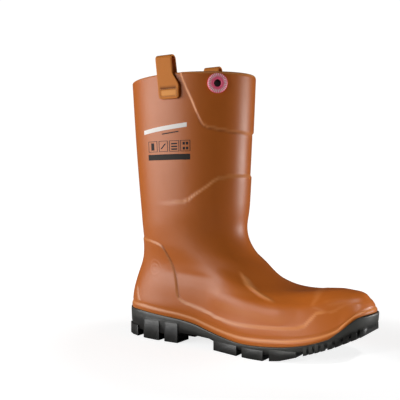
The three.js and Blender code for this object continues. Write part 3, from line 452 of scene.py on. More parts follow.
# Two faint rings moulded on the heel
HEEL_RING_X = 15.2
HEEL_RING_Z = 83.5
HEEL_RING_RADII = (8.5, 8.5 * 0.45)
HEEL_RING_HALF = 0.9
HEEL_RING_HEIGHT = 0.25


def on_foot(table):
    """An edge on the foot, from shares to millimetres."""
    return [(along_sole(x), z * THROAT_HEIGHT) for x, z in table]


def on_shaft(table):
    """An edge on the shaft, from shares to millimetres."""
    return [(COLLAR_CENTRE - COLLAR_DEPTH / 2 + x * COLLAR_DEPTH, z * RIM_HEIGHT) for x, z in table]


def step_height(points, outline, height, width=STEP_WIDTH):
    """The height of a panel inside its outline, with a soft edge of a width."""
    return height * soft_step(depth_inside(points, np.array(outline)) / width + 0.5)


def bell(distance, half):
    """A soft hump, 1 in its middle and 0.37 at its half width."""
    return np.exp(-((distance / half) ** 2))


def faded_ends(place):
    """1 along a ridge, and down to 0 over the last sixth at either end."""
    return np.clip(np.minimum(place, 1 - place) * 6, 0, 1)


def crevices(points):
    """1 in the narrow hollows under the shin panel and in front of the counter, 0 elsewhere."""
    under_shin = np.array(on_shaft(SHIN_EDGE[4:10])) - (0, CREVICE_SHIFT)
    before_counter = np.array(on_foot(RAND_EDGE[3:8])) + (CREVICE_SHIFT, 0)
    deep = np.zeros(points.shape[:-1])
    for chain in (under_shin, before_counter):
        far, _ = distance_to(points[..., [0, 2]], rounded(chain))
        deep = np.maximum(deep, bell(far, CREVICE_HALF))
    return deep


def relief(level, angle, points):
    """How proud of the plain form the surface stands, in millimetres."""
    view = points[..., [0, 2]]
    to_toe = (1 - np.cos(angle)) / 2
    ledge = [(along_sole(1.1), -SIDE_LEDGE), (along_sole(-0.1), -SIDE_LEDGE)]
    rand = list(rounded(on_foot(RAND_EDGE))) + ledge
    hinge = along_sole(CAP_HINGE)
    turned = view.copy()
    sideways = points[..., 1] * math.sin(CAP_TURN)
    turned[..., 0] = (points[..., 0] - hinge) * math.cos(CAP_TURN) + sideways + hinge
    cap = step_height(turned, on_foot(CAP_EDGE), CAP_STEP, CAP_SOFTNESS)
    foot = np.maximum(step_height(view, rand, RAND_STEP), cap)
    shin = step_height(view, rounded(on_shaft(SHIN_EDGE)), PANEL_STEP)
    front = soft_step((to_toe - SHAFT_STEP_FROM) / SHAFT_STEP_FADE)
    low = soft_step((level - THROAT_HEIGHT * SHAFT_STEP_LOW) / (THROAT_HEIGHT * SHAFT_STEP_LOW_FADE))
    shaft = step_height(view, rounded(on_shaft(SHAFT_EDGE)), PANEL_STEP) * front * low
    above = level - FEATHER_BACK
    bulge = np.sqrt(np.clip(1 - ((above - BEAD_TOP * BEAD_MIDDLE) / (BEAD_TOP * BEAD_HALF)) ** 2, 0, 1))
    groove = GROOVE_DEPTH * bell(above - BEAD_TOP * GROOVE_PLACE, GROOVE_HALF)
    height = np.maximum(foot + (shin + shaft), BEAD_STEP * bulge) - groove
    for chain, tall, half in RIDGES:
        far, place = distance_to(view, rounded(chain))
        height = height + tall * faded_ends(place) * bell(far, half)
    from_ring = np.hypot(points[..., 0] - HEEL_RING_X, points[..., 2] - HEEL_RING_Z)
    rings = sum(bell(from_ring - radius, HEEL_RING_HALF) for radius in HEEL_RING_RADII)
    height = height + HEEL_RING_HEIGHT * rings - CREVICE_DEPTH * crevices(points)
    rounding = mix(RIM_ROUND_SIDE, RIM_ROUND_FRONT, soft_step((to_toe - RIM_FRONT_FROM) / RIM_FRONT_FADE))
    past = np.clip(level - (RIM_HEIGHT - rounding), 0, rounding)
    return height - (rounding - np.sqrt(np.maximum(rounding ** 2 - past ** 2, 0))) * RIM_ROUND_DEPTH


def upper_surface(level, angle, offset=0.0):
    """Points of the moulded surface, steps and ridges included, moved out by an offset."""
    points = upper_form(level, angle)
    height = relief(level, angle, points) + offset
    return points + upper_normal(level, angle) * height[..., None]


def mesh_piece(name, points, faces):
    """A smooth shaded mesh object from points in millimetres."""
    mesh = bpy.data.meshes.new(name)
    mesh.from_pydata((np.asarray(points, float).reshape(-1, 3) * MM).tolist(), [], faces)
    mesh.shade_smooth()
    piece = bpy.data.objects.new(name, mesh)
    bpy.context.scene.collection.objects.link(piece)
    return piece


def ring_faces(rings, count, closed=True):
    """Quads between rings of points. The last ring is joined to the first, or else both ends are capped."""
    faces = []
    for ring in range(rings if closed else rings - 1):
        here, there = ring * count, (ring + 1) % rings * count
        for i in range(count):
            j = (i + 1) % count
            faces.append((here + i, there + i, there + j, here + j))
    if not closed:
        faces += [tuple(range(count)), tuple(reversed(range((rings - 1) * count, rings * count)))]
    return faces


# The mesh: points around, closer together at the sides, and levels, closer together on the
# foot and at the rim
AROUND = 440
SIDE_CROWDING = 0.2
BEAD_LEVELS_TO = 45
FOOT_LEVELS_TO = 120
RIM_BAND = 5.0
OUTER_LEVELS = np.concatenate([
    np.linspace(FEATHER_BACK, BEAD_LEVELS_TO, 16, endpoint=False),
    np.linspace(BEAD_LEVELS_TO, FOOT_LEVELS_TO, 60, endpoint=False),
    np.linspace(FOOT_LEVELS_TO, RIM_HEIGHT - RIM_BAND, 82, endpoint=False),
    RIM_HEIGHT - RIM_BAND * np.cos(np.linspace(0, math.pi / 2, 9)[:-1]) ** 1.4,
])
INNER_LEVELS = np.linspace(RIM_HEIGHT - 0.9, FEATHER_BACK, 36)
turns = np.linspace(0, 2 * math.pi, AROUND, endpoint=False)
angles = turns + SIDE_CROWDING * np.sin(2 * turns)
outer_grid = np.broadcast_arrays(OUTER_LEVELS[:, None], angles[None, :])
outer_points = upper_surface(*outer_grid)

# Over the rim: how far below its top and how far inward each ring lies
rim_profile = [(-0.05, 0.0), (0.0, -0.25), (0.0, -WALL + 1.1), (-0.35, -WALL + 0.4)]
rim_rings = []
for down, inward in rim_profile:
    level = np.full(AROUND, RIM_HEIGHT + down)
    proud = relief(level, angles, upper_form(level, angles)) * (1 if inward > -WALL / 2 else 0)
    rim_rings.append(upper_form(level, angles) + upper_normal(level, angles) * (proud + inward)[:, None])
inner_grid = np.broadcast_arrays(INNER_LEVELS[:, None], angles[None, :])
inner_points = upper_form(*inner_grid) - upper_normal(*inner_grid) * WALL
upper_rings = np.concatenate([outer_points, np.array(rim_rings), inner_points])
upper = mesh_piece("upper_moulded", upper_rings, ring_faces(len(upper_rings), AROUND))


def paint_attribute(piece, name, values):
    """A number for each point of the mesh, which its material reads."""
    attribute = piece.data.attributes.new(name, "FLOAT", "POINT")
    attribute.data.foreach_set("value", np.asarray(values, np.float32).ravel())


# Painted highlight: the edges are lightened where the relief is steep, along the instep's ridge and along
# the bead
EDGE_GAIN = 1.7
EDGE_START = 0.15
LEAST_LEVEL_STEP = 0.2
CREST_HIGHLIGHT_HALF = 0.9
BEAD_HIGHLIGHT = 0.85
BEAD_HIGHLIGHT_PLACE = 0.93
BEAD_HIGHLIGHT_HALF = 0.9
outer_form = upper_form(*outer_grid)
heights = relief(*outer_grid, outer_form)
level_steps = np.maximum(np.gradient(OUTER_LEVELS), LEAST_LEVEL_STEP)
slope_up = np.abs(np.gradient(heights, axis=0)) / level_steps[:, None]
step_round = np.linalg.norm(np.roll(outer_points, -1, 1) - np.roll(outer_points, 1, 1), axis=-1)
slope_round = np.abs(np.roll(heights, -1, 1) - np.roll(heights, 1, 1)) / step_round
edge = np.clip(np.hypot(slope_up, slope_round) * EDGE_GAIN - EDGE_START, 0, 1)
crest_distance, crest_place = distance_to(outer_form[..., [0, 2]], rounded(INSTEP_RIDGE))
crest_highlight = bell(crest_distance, CREST_HIGHLIGHT_HALF) * faded_ends(crest_place)
from_bead = OUTER_LEVELS - FEATHER_BACK - BEAD_TOP * BEAD_HIGHLIGHT_PLACE
bead_highlight = BEAD_HIGHLIGHT * bell(from_bead, BEAD_HIGHLIGHT_HALF)[:, None]
# Painted shade in the crevices, where the painted highlight is held back too
crevice_shade = crevices(outer_form)
edge = np.maximum(np.maximum(edge, crest_highlight), bead_highlight) * (1 - crevice_shade)
rest = (len(upper_rings) - len(OUTER_LEVELS)) * AROUND
unlined = 2 * AROUND
paint_attribute(upper, "edge", np.concatenate([edge.ravel(), np.zeros(rest)]))
paint_attribute(upper, "crevice_shade", np.concatenate([crevice_shade.ravel(), np.zeros(rest)]))
paint_attribute(upper, "inside", np.concatenate([np.zeros(edge.size + unlined), np.ones(rest - unlined)]))


def new_effect(name, inputs, outputs):
    """An empty shader node group with named inputs and outputs."""
    group = bpy.data.node_groups.new(name, "ShaderNodeTree")
    for label, kind, value in inputs:
        group.interface.new_socket(label, in_out="INPUT", socket_type=kind).default_value = value
    for label, kind in outputs:
        group.interface.new_socket(label, in_out="OUTPUT", socket_type=kind)
    return group, group.nodes.new("NodeGroupInput").outputs, group.nodes.new("NodeGroupOutput").inputs


def use_effect(tree, group, inputs):
    """The outputs of an effect placed in a material with its own values."""
    return new_node(tree, "ShaderNodeGroup", inputs, node_tree=group).outputs


def mixed(tree, factor, first, second):
    """Two colours mixed by a factor."""
    return new_node(tree, "ShaderNodeMix", {0: factor, 6: first, 7: second}, data_type="RGBA").outputs[2]


def painted(tree, name):
    """The number that was painted on the mesh under a name."""
    return new_node(tree, "ShaderNodeAttribute", attribute_name=name).outputs["Fac"]


def add_bump(tree, shader, height, strength, depth):
    """Fine relief in the surface, of a depth in metres."""
    bump = new_node(tree, "ShaderNodeBump", {"Height": height, "Strength": strength, "Distance": depth})
    tree.links.new(bump.outputs["Normal"], shader.inputs["Normal"])


TAN = (0.500, 0.127, 0.0150, 1.0)
TAN_DEEP = (0.415, 0.097, 0.0100, 1.0)
# Lighter tan of the painted highlight on the edges
TAN_EDGE_HIGHLIGHT = (0.860, 0.400, 0.150, 1.0)
# Darker tan of the painted shade in the crevices
TAN_CREVICE_SHADE = (0.240, 0.058, 0.008, 1.0)
LINING = (0.300, 0.150, 0.080, 1.0)
EDGE_HIGHLIGHT_SHARE = 0.62
CREVICE_SHADE_SHARE = 0.55
CLOUD_SCALE = 22.0
SKIN_SMOOTHEST = 0.33
SKIN_ROUGHEST = 0.46


def build_moulded_skin():
    """Fine cast grain, and slow changes of tone where the foam is denser."""
    group, given, result = new_effect(
        "moulded_skin",
        [("Colour", "NodeSocketColor", TAN), ("Shade", "NodeSocketColor", TAN_DEEP),
         ("Grain scale", "NodeSocketFloat", 1400.0), ("Mottle", "NodeSocketFloat", 0.25)],
        [("Colour", "NodeSocketColor"), ("Roughness", "NodeSocketFloat"), ("Height", "NodeSocketFloat")],
    )
    place = new_node(group, "ShaderNodeTexCoord").outputs["Object"]
    fine = {"Vector": place, "Scale": given["Grain scale"]}
    grain = new_node(group, "ShaderNodeTexNoise", {**fine, "Detail": 3.0}).outputs["Fac"]
    pores = new_node(group, "ShaderNodeTexVoronoi", fine).outputs["Distance"]
    cloud = new_node(group, "ShaderNodeTexNoise", {
        "Vector": place, "Scale": CLOUD_SCALE, "Detail": 4.0, "Roughness": 0.6,
    }).outputs["Fac"]
    tone = mixed(group, times(group, cloud, given["Mottle"]), given["Colour"], given["Shade"])
    rough = new_node(group, "ShaderNodeMapRange", {
        "Value": cloud, "To Min": SKIN_SMOOTHEST, "To Max": SKIN_ROUGHEST,
    }).outputs["Result"]
    both = new_node(group, "ShaderNodeMath", {0: grain, 1: pores}, operation="ADD").outputs[0]
    group.links.new(tone, result["Colour"])
    group.links.new(rough, result["Roughness"])
    group.links.new(both, result["Height"])
    return group


MOULDED_SKIN = build_moulded_skin()

upper_rubber, tree, shader = new_material("upper_rubber")
skin = use_effect(tree, MOULDED_SKIN, {
    "Colour": TAN, "Shade": TAN_DEEP, "Grain scale": 1500.0, "Mottle": 0.35,
})
# Painted highlight: lighter tan on the steep edges, the instep's crest and the bead's top
edge_highlighted = mixed(tree, times(tree, painted(tree, "edge"), EDGE_HIGHLIGHT_SHARE), skin["Colour"], TAN_EDGE_HIGHLIGHT)
# Painted shade: darker tan in the crevices under the shin panel and in front of the counter
shaded = mixed(tree, times(tree, painted(tree, "crevice_shade"), CREVICE_SHADE_SHARE), edge_highlighted, TAN_CREVICE_SHADE)
tree.links.new(mixed(tree, painted(tree, "inside"), shaded, LINING), shader.inputs["Base Color"])
tree.links.new(skin["Roughness"], shader.inputs["Roughness"])
add_bump(tree, shader, skin["Height"], 0.12, 0.0004)
shader.inputs["Specular IOR Level"].default_value = 0.39
upper.data.materials.append(upper_rubber)
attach(upper, "root")
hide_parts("upper")


# The outsole: a black rubber unit, pressed in one mould. It keeps the frame's form, with its faces merged
# and its edges rounded as a mould leaves them.
MERGE_WITHIN = 0.00002
FLAT_WITHIN = math.radians(1.5)
SHARP_FROM = math.radians(38)
OUTSOLE_ROUNDING = 0.0006


def softened(node, name, rounding):
    """A copy of a frame solid with its faces merged and its edges rounded."""
    piece = bpy.data.objects.new(name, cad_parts[node].data.copy())
    bpy.context.scene.collection.objects.link(piece)
    work = bmesh.new()
    work.from_mesh(piece.data)
    bmesh.ops.remove_doubles(work, verts=work.verts, dist=MERGE_WITHIN)
    bmesh.ops.dissolve_limit(work, angle_limit=FLAT_WITHIN, verts=work.verts, edges=work.edges)
    work.to_mesh(piece.data)
    work.free()
    piece.data.materials.clear()
    soft_edges = piece.modifiers.new("soft_edges", "BEVEL")
    soft_edges.width = rounding
    soft_edges.segments = 2
    soft_edges.limit_method = "ANGLE"
    soft_edges.angle_limit = SHARP_FROM
    soft_edges.harden_normals = True
    piece.data.shade_smooth()
    return piece


outsole = softened("outsole", "outsole_moulded", OUTSOLE_ROUNDING)

# The sole's side is lighter grey in a band under the feather line, in metres below it, and not on the lugs
SOLE_BLACK = (0.009, 0.009, 0.008, 1.0)
SOLE_DEEP = (0.005, 0.005, 0.004, 1.0)
SOLE_BAND_GREY = (0.052, 0.052, 0.047, 1.0)
FEATHER_CURVE_STOPS = 17
BAND_NONE_BELOW = 0.0115
BAND_FULL_TO = 0.0065
BAND_MOST = 0.75
LUG_LOW = 0.008
LUG_HIGH = 0.013

sole_rubber, tree, shader = new_material("sole_rubber")
skin = use_effect(tree, MOULDED_SKIN, {
    "Colour": SOLE_BLACK, "Shade": SOLE_DEEP, "Grain scale": 1100.0, "Mottle": 0.6,
})
place = new_node(tree, "ShaderNodeTexCoord").outputs["Object"]
parts = new_node(tree, "ShaderNodeSeparateXYZ", {"Vector": place}).outputs
along = new_node(tree, "ShaderNodeMapRange", {
    "Value": parts["X"], "From Min": along_sole(0) * MM, "From Max": along_sole(1) * MM,
}).outputs["Result"]
feather_curve = new_node(tree, "ShaderNodeValToRGB", {"Fac": along})
stops = feather_curve.color_ramp.elements
for share in np.linspace(0, 1, FEATHER_CURVE_STOPS)[1:-1]:
    stops.new(float(share))
for stop in stops:
    tall = float(feather_height(np.array([stop.position]))[0]) / FEATHER_TIP
    stop.color = (tall, tall, tall, 1)
feather = times(tree, feather_curve.outputs["Color"], FEATHER_TIP * MM)
below = new_node(tree, "ShaderNodeMath", {0: feather, 1: parts["Z"]}, operation="SUBTRACT").outputs[0]
upper_band = new_node(tree, "ShaderNodeMapRange", {
    "Value": below, "From Min": BAND_NONE_BELOW, "From Max": BAND_FULL_TO,
    "To Min": 0.0, "To Max": BAND_MOST,
}).outputs["Result"]
above_lugs = new_node(tree, "ShaderNodeMapRange", {
    "Value": parts["Z"], "From Min": LUG_LOW, "From Max": LUG_HIGH,
}).outputs["Result"]
# Lighter grey in the band under the feather line, darker towards the bottom and on the lugs
sole_colour = mixed(tree, times(tree, upper_band, above_lugs), skin["Colour"], SOLE_BAND_GREY)
tree.links.new(sole_colour, shader.inputs["Base Color"])
tree.links.new(skin["Roughness"], shader.inputs["Roughness"])
add_bump(tree, shader, skin["Height"], 0.2, 0.0005)
outsole.data.materials.append(sole_rubber)
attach(outsole, "root")
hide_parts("outsole")


# The insole: a loose footbed of grey needled felt, cut flat and laid in on the sole. It keeps the
# frame's form with its cut edge rounded, and shows only from above through the collar, with a fibrous nap.
FELT = (0.075, 0.072, 0.068, 1.0)
FELT_LIGHT = (0.15, 0.145, 0.135, 1.0)
FELT_ROUNDING = 0.0012
def build_fibre_nap():
    """Short fibres lying in all ways, as on felt or webbing, with slow changes of tone."""
    group, given, result = new_effect(
        "fibre_nap",
        [("Colour", "NodeSocketColor", FELT), ("Light fibre", "NodeSocketColor", FELT_LIGHT),
         ("Fibre scale", "NodeSocketFloat", 900.0)],
        [("Colour", "NodeSocketColor"), ("Height", "NodeSocketFloat")],
    )
    place = new_node(group, "ShaderNodeTexCoord").outputs["Object"]
    fibre = new_node(
        group, "ShaderNodeTexNoise",
        {"Vector": place, "Scale": given["Fibre scale"], "Detail": 5.0, "Distortion": 1.6},
    ).outputs["Fac"]
    group.links.new(mixed(group, fibre, given["Colour"], given["Light fibre"]), result["Colour"])
    group.links.new(fibre, result["Height"])
    return group


FIBRE_NAP = build_fibre_nap()


def fibre_material(name, colour, light, scale, rough, depth):
    """A dull fibrous finish: felt, webbing or thread."""
    material, tree, shader = new_material(name)
    nap = use_effect(tree, FIBRE_NAP, {"Colour": colour, "Light fibre": light, "Fibre scale": scale})
    tree.links.new(nap["Colour"], shader.inputs["Base Color"])
    add_bump(tree, shader, nap["Height"], 0.5, depth)
    shader.inputs["Roughness"].default_value = rough
    shader.inputs["Specular IOR Level"].default_value = 0.12
    return material


insole = softened("insole", "insole_felt", FELT_ROUNDING)
insole.data.materials.append(fibre_material("needled_felt", FELT, FELT_LIGHT, 900.0, 0.95, 0.0005))
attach(insole, "root")
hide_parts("insole")


# The pull loops: two straps of tan leather cloth that go over the collar at the sides. Each outer end is cut
# to a wider round cornered foot, pressed with a ribbed bar and sewn down with a box of stitches.
STRAP_WIDTH = 22.0
STRAP_THICKNESS = 2.0
STRAP_RISE = 21.5
STRAP_REACH = 29.0
STRAP_CENTRE = 41.0
STRAP_HANG = 1.9
STRAP_FOOT_WIDTH = 28.0
STRAP_FOOT_SHIFT = 8.0
STRAP_TAN = (0.52, 0.162, 0.026, 1.0)
STRAP_TAN_LIGHT = (0.66, 0.230, 0.046, 1.0)
STRAP_BAR = (0.200, 0.060, 0.012, 1.0)
STRAP_PATCH = (0.780, 0.330, 0.090, 1.0)
GAP = 0.3

# On the foot: a bar of pressed ribs over a raised patch. Places are shares across, and heights over its end
BAR_ACROSS = (0.12, 0.88)
BAR_ALONG = (11.6, 16.4)
BAR_PITCH = 1.3
BAR_DEPTH = 0.5
BAR_DARKENS = 2.4
PATCH_ACROSS = (0.20, 0.86)
PATCH_ALONG = (3.6, 10.0)
PATCH_RISE = 0.4

strap_rim = RIM_HEIGHT + RIM_FRONT_RISE / 2 + RIM_SIDE_RISE
strap_low = strap_rim - STRAP_REACH
strap_lean = COLLAR_WIDTH / 2 - mix(ANKLE_WIDTH, COLLAR_WIDTH, 0.84) / 2
strap_outer = COLLAR_WIDTH / 2 + GAP + STRAP_THICKNESS / 2
strap_inner = COLLAR_WIDTH / 2 - WALL - GAP - STRAP_HANG - STRAP_THICKNESS / 2
strap_bend = (strap_outer - strap_inner) / 2
strap_shoulder = strap_rim + STRAP_RISE - strap_bend - STRAP_THICKNESS / 2


def strap_path():
    """The strap's middle, from its foot outside over the top to its end inside: y, z and outward way."""
    line = [(strap_outer - strap_lean * (strap_rim - z) / STRAP_REACH, z, 0.0)
            for z in np.linspace(strap_low, strap_rim, 26)]
    line += [(strap_outer, z, 0.0) for z in np.linspace(strap_rim, strap_shoulder, 10)[1:]]
    for turn in np.linspace(0, math.pi, 22)[1:]:
        y = (strap_outer + strap_inner) / 2 + strap_bend * math.cos(turn)
        line.append((y, strap_shoulder + strap_bend * math.sin(turn), turn))
    for z in np.linspace(strap_shoulder, strap_low, 20)[1:]:
        slid = strap_lean * (strap_shoulder - z) / (strap_shoulder - strap_low)
        line.append((strap_inner - slid, z, math.pi))
    return line


def strap_edges(z):
    """Where the strap's back and front edges are at a height."""
    centre = STRAP_CENTRE + STRAP_FOOT_SHIFT
    half, foot = STRAP_WIDTH / 2, STRAP_FOOT_WIDTH / 2
    top = strap_rim + STRAP_RISE + STRAP_THICKNESS
    corner = STRAP_THICKNESS * 2
    slid = STRAP_CENTRE + STRAP_FOOT_SHIFT * 0.35
    back_edges = [centre - foot, slid - half, STRAP_CENTRE - half]
    front_edges = [centre + foot, slid + half, STRAP_CENTRE + half]
    back = np.interp(z, [strap_low + corner, strap_rim, top], back_edges)
    front = np.interp(z, [strap_low + STRAP_REACH * 0.55, strap_rim, top], front_edges)
    into = np.clip(strap_low + corner - z, 0, corner)
    cut = corner - math.sqrt(max(corner ** 2 - into ** 2, 0))
    return back + cut, front - cut


def strap_section():
    """The strap's cross section: shares across its width, and heights off its middle, with rounded edges."""
    half, corner = STRAP_THICKNESS / 2, 0.75
    across = np.concatenate([[0.0], np.linspace(0.5, STRAP_WIDTH - 0.5, 16), [STRAP_WIDTH]])
    over = [(x, half - (corner * 0.6 if x in (0.0, STRAP_WIDTH) else 0.0)) for x in across]
    under = [(x, -h) for x, h in reversed(over)]
    return [(x / STRAP_WIDTH, h) for x, h in over + under]


def between(value, limits):
    return limits[0] < value < limits[1]


def build_strap(name, side):
    """One strap: its section run along its path, with bar and patch on the outer face of its foot."""
    section = strap_section()
    rings, bar, patch = [], [], []
    for y, z, turn in strap_path():
        back, front = strap_edges(z)
        above = z - strap_low
        ring = []
        for share_across, height in section:
            outside = turn == 0.0 and height > 0
            on_bar = outside and between(share_across, BAR_ACROSS) and between(above, BAR_ALONG)
            on_patch = outside and between(share_across, PATCH_ACROSS) and between(above, PATCH_ALONG)
            ribs = 0.5 + 0.5 * math.cos(2 * math.pi * above / BAR_PITCH)
            pressed = BAR_DEPTH * ribs if on_bar else 0.0
            bar.append(min(pressed * BAR_DARKENS, 1.0))
            patch.append(float(on_patch))
            off = height + PATCH_RISE if on_patch else height - pressed
            x = mix(back, front, share_across)
            ring.append((x, side * (y + math.cos(turn) * off), z + math.sin(turn) * off))
        rings.append(ring)
    faces = ring_faces(len(rings), len(section), closed=False)
    if side < 0:
        faces = [face[::-1] for face in faces]
    strap = mesh_piece(name, np.array(rings), faces)
    paint_attribute(strap, "bar", bar)
    paint_attribute(strap, "patch", patch)
    rounding = strap.modifiers.new("cut_edges", "SUBSURF")
    rounding.levels = 1
    rounding.render_levels = 1
    return strap


THREAD_TAN = (0.62, 0.30, 0.12, 1.0)
THREAD_TAN_LIGHT = (0.74, 0.42, 0.20, 1.0)
THREAD_THICKNESS = 0.42
THREAD_SIDES = 6
STITCH_LENGTH = 2.6
STITCH_ENDS = (0.14, 0.86)
SEWN_BACK = 37.5
SEWN_FRONT = 60.5
SEWN_LOW = 281.2
SEWN_HIGH = 289.4


def thread(a, b, out):
    """One stitch: a short thread that dips into the cloth at both ends."""
    a, b, out = np.array(a, float), np.array(b, float), np.array(out, float)
    along = (b - a) / np.linalg.norm(b - a)
    side = np.cross(along, out)
    rings = []
    for share_along in (0.0, 0.2, 0.5, 0.8, 1.0):
        swell = math.sin(math.pi * share_along)
        middle = a + (b - a) * share_along + out * THREAD_THICKNESS * (1.1 * swell - 0.5)
        radius = THREAD_THICKNESS * (0.65 + 0.35 * swell)
        rings.append([
            middle + radius * (math.cos(t) * side + math.sin(t) * out)
            for t in np.linspace(0, 2 * math.pi, THREAD_SIDES, endpoint=False)
        ])
    return np.array(rings)


def build_stitches(name, side):
    """A sewn box at the strap's foot."""
    corners = [
        (SEWN_BACK, SEWN_LOW), (SEWN_FRONT, SEWN_LOW), (SEWN_FRONT, SEWN_HIGH), (SEWN_BACK, SEWN_HIGH),
    ]
    points, faces = [], []
    for (x0, z0), (x1, z1) in zip(corners, corners[1:] + corners[:1]):
        count = max(2, round(math.hypot(x1 - x0, z1 - z0) / STITCH_LENGTH))
        for k in range(count):
            ends = []
            for end in STITCH_ENDS:
                x, z = mix(x0, x1, (k + end) / count), mix(z0, z1, (k + end) / count)
                y = strap_outer - strap_lean * (strap_rim - z) / STRAP_REACH + STRAP_THICKNESS / 2
                ends.append((x, side * y, z))
            base = len(points)
            rings = thread(ends[0], ends[1], (0, side, 0))
            points += [tuple(p) for p in rings.reshape(-1, 3)]
            stitch_faces = ring_faces(len(rings), THREAD_SIDES, closed=False)
            faces += [tuple(base + i for i in face) for face in stitch_faces]
    return mesh_piece(name, points, faces)


strap_cloth = fibre_material("strap_cloth", STRAP_TAN, STRAP_TAN_LIGHT, 1300.0, 0.6, 0.0003)
strap_thread = fibre_material("strap_thread", THREAD_TAN, THREAD_TAN_LIGHT, 2500.0, 0.6, 0.0002)
tree = strap_cloth.node_tree
shader = tree.nodes["Principled BSDF"]
cloth_colour = shader.inputs["Base Color"].links[0].from_socket
patched = mixed(tree, painted(tree, "patch"), cloth_colour, STRAP_PATCH)
tree.links.new(mixed(tree, painted(tree, "bar"), patched, STRAP_BAR), shader.inputs["Base Color"])
for side_name, side in (("outer", -1), ("inner", 1)):
    strap = build_strap("strap_" + side_name, side)
    strap.data.materials.append(strap_cloth)
    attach(strap, "root")
    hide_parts("pull_loop_" + side_name)
    stitches = build_stitches("stitches_" + side_name, side)
    stitches.data.materials.append(strap_thread)
    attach(stitches, "root")


# The badge: a round pink rubber button with a black plug in its middle, pressed into the shin panel under
# the rim. Its rim carries fine pale spokes, moulded a little proud.
BADGE_RADIUS = 11.0
BADGE_HOLE = 4.0
BADGE_THICKNESS = 2.6
BADGE_DROP = 13.0
BADGE_ANGLE = 137.0
BADGE_PINK = (0.98, 0.150, 0.270, 1.0)
BADGE_PINK_DEEP = (0.80, 0.080, 0.180, 1.0)
BADGE_PALE = (1.0, 0.90, 0.90, 1.0)
BADGE_BLACK = (0.012, 0.011, 0.012, 1.0)
BADGE_BLACK_DEEP = (0.006, 0.006, 0.006, 1.0)
SPOKES = 30
SPOKE_HEIGHT = 0.2
SPOKES_FROM = 6.6
SPOKES_TO = 10.6

badge_level = np.array([RIM_HEIGHT - BADGE_DROP])
badge_turn = np.array([math.radians(-BADGE_ANGLE)])
badge_out = upper_normal(badge_level, badge_turn)[0]
badge_seat = upper_form(badge_level, badge_turn)[0] + badge_out * PANEL_STEP
badge_side = np.cross(np.array([0.0, 0.0, 1.0]), badge_out)
badge_side /= np.linalg.norm(badge_side)
badge_up = np.cross(badge_out, badge_side)
skirt = -BADGE_RADIUS / 5
plug_radius = BADGE_HOLE - GAP

# Radius and height off the panel. The ring's profile closes on itself, and the plug's starts at its middle
ring_profile = [
    (BADGE_HOLE, skirt), (BADGE_HOLE, 0.0), (BADGE_HOLE, 1.7), (4.15, 2.2), (4.6, 2.5),
    (5.2, BADGE_THICKNESS), (6.4, BADGE_THICKNESS), (7.1, 2.5), (7.4, 2.25), (7.7, 2.25),
    (8.0, 2.42), (8.6, 2.42), (9.2, 2.36), (9.8, 2.26), (10.3, 2.1), (10.7, 1.75), (10.95, 1.2),
    (BADGE_RADIUS, 0.6), (BADGE_RADIUS, skirt),
]
plug_profile = [
    (0.05, 2.03), (0.8, 2.02), (1.6, 1.96), (2.4, 1.8), (3.0, 1.55), (3.4, 1.3), (3.65, 0.95),
    (plug_radius, 0.4), (plug_radius, skirt),
]


def turned_piece(name, profile, around, closed, spoke_height=0.0):
    """A round piece on the badge's axis, from a profile of radius and height."""
    turns = np.linspace(0, 2 * math.pi, around, endpoint=False)
    spoke = np.clip(np.cos(turns * SPOKES) * 2.0 + 0.1, 0, 1)
    rings, pale = [], []
    for radius, height in profile:
        band = 0.0
        if height > 0:
            band = float(soft_step((radius - SPOKES_FROM) / 1.4) * soft_step((SPOKES_TO - radius) / 0.4))
        high = height + spoke_height * spoke * band
        way = np.cos(turns)[:, None] * badge_side + np.sin(turns)[:, None] * badge_up
        rings.append(badge_seat + radius * way + high[:, None] * badge_out)
        pale.append(spoke * band)
    piece = mesh_piece(name, np.array(rings), ring_faces(len(rings), around, closed=closed))
    paint_attribute(piece, "pale", np.array(pale))
    return piece


def rubber_material(name, colour, shade, rough, scale=1200.0, mottle=0.3, depth=0.0003):
    """Moulded rubber with its fine grain: the material, its tree, its shader and its colour."""
    material, tree, shader = new_material(name)
    skin = use_effect(tree, MOULDED_SKIN, {
        "Colour": colour, "Shade": shade, "Grain scale": scale, "Mottle": mottle,
    })
    tree.links.new(skin["Colour"], shader.inputs["Base Color"])
    add_bump(tree, shader, skin["Height"], 0.15, depth)
    shader.inputs["Roughness"].default_value = rough
    return material, tree, shader, skin["Colour"]


badge = turned_piece("badge_button", ring_profile, 240, True, SPOKE_HEIGHT)
pink, tree, shader, skin_colour = rubber_material("badge_pink", BADGE_PINK, BADGE_PINK_DEEP, 0.42)
tree.links.new(mixed(tree, painted(tree, "pale"), skin_colour, BADGE_PALE), shader.inputs["Base Color"])
badge.data.materials.append(pink)
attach(badge, "root")
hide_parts("badge_ring")

plug = turned_piece("badge_middle", plug_profile, 96, False)
plug.data.materials.append(rubber_material("badge_black", BADGE_BLACK, BADGE_BLACK_DEEP, 0.4)[0])
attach(plug, "root")
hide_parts("badge_plug")


# The printed marks: thin screen ink on the outer side of the shaft. They are a plain pale stripe over a thin
# dark line, four outlined squares with plain marks, and a dark bar. Places are levels and angles in degrees.
INK = 0.07
PALE_INK = (0.90, 0.87, 0.84, 1.0)
PALE_INK_DEEP = (0.80, 0.70, 0.62, 1.0)
DARK_INK = (0.022, 0.018, 0.016, 1.0)
DARK_INK_DEEP = (0.045, 0.028, 0.020, 1.0)
STRIPE_LEVELS = (240.5, 247.4)
STRIPE_BACK = -53.0
STRIPE_SPAN = 56.0
OUTLINE = 0.55
MM_PER_DEGREE = 0.86
SQUARES = [(-66.0, -78.0), (-80.0, -90.0), (-91.5, -101.5), (-102.6, -112.0)]
SQUARE_TOP = 230.6
SQUARE_LOW = 218.4


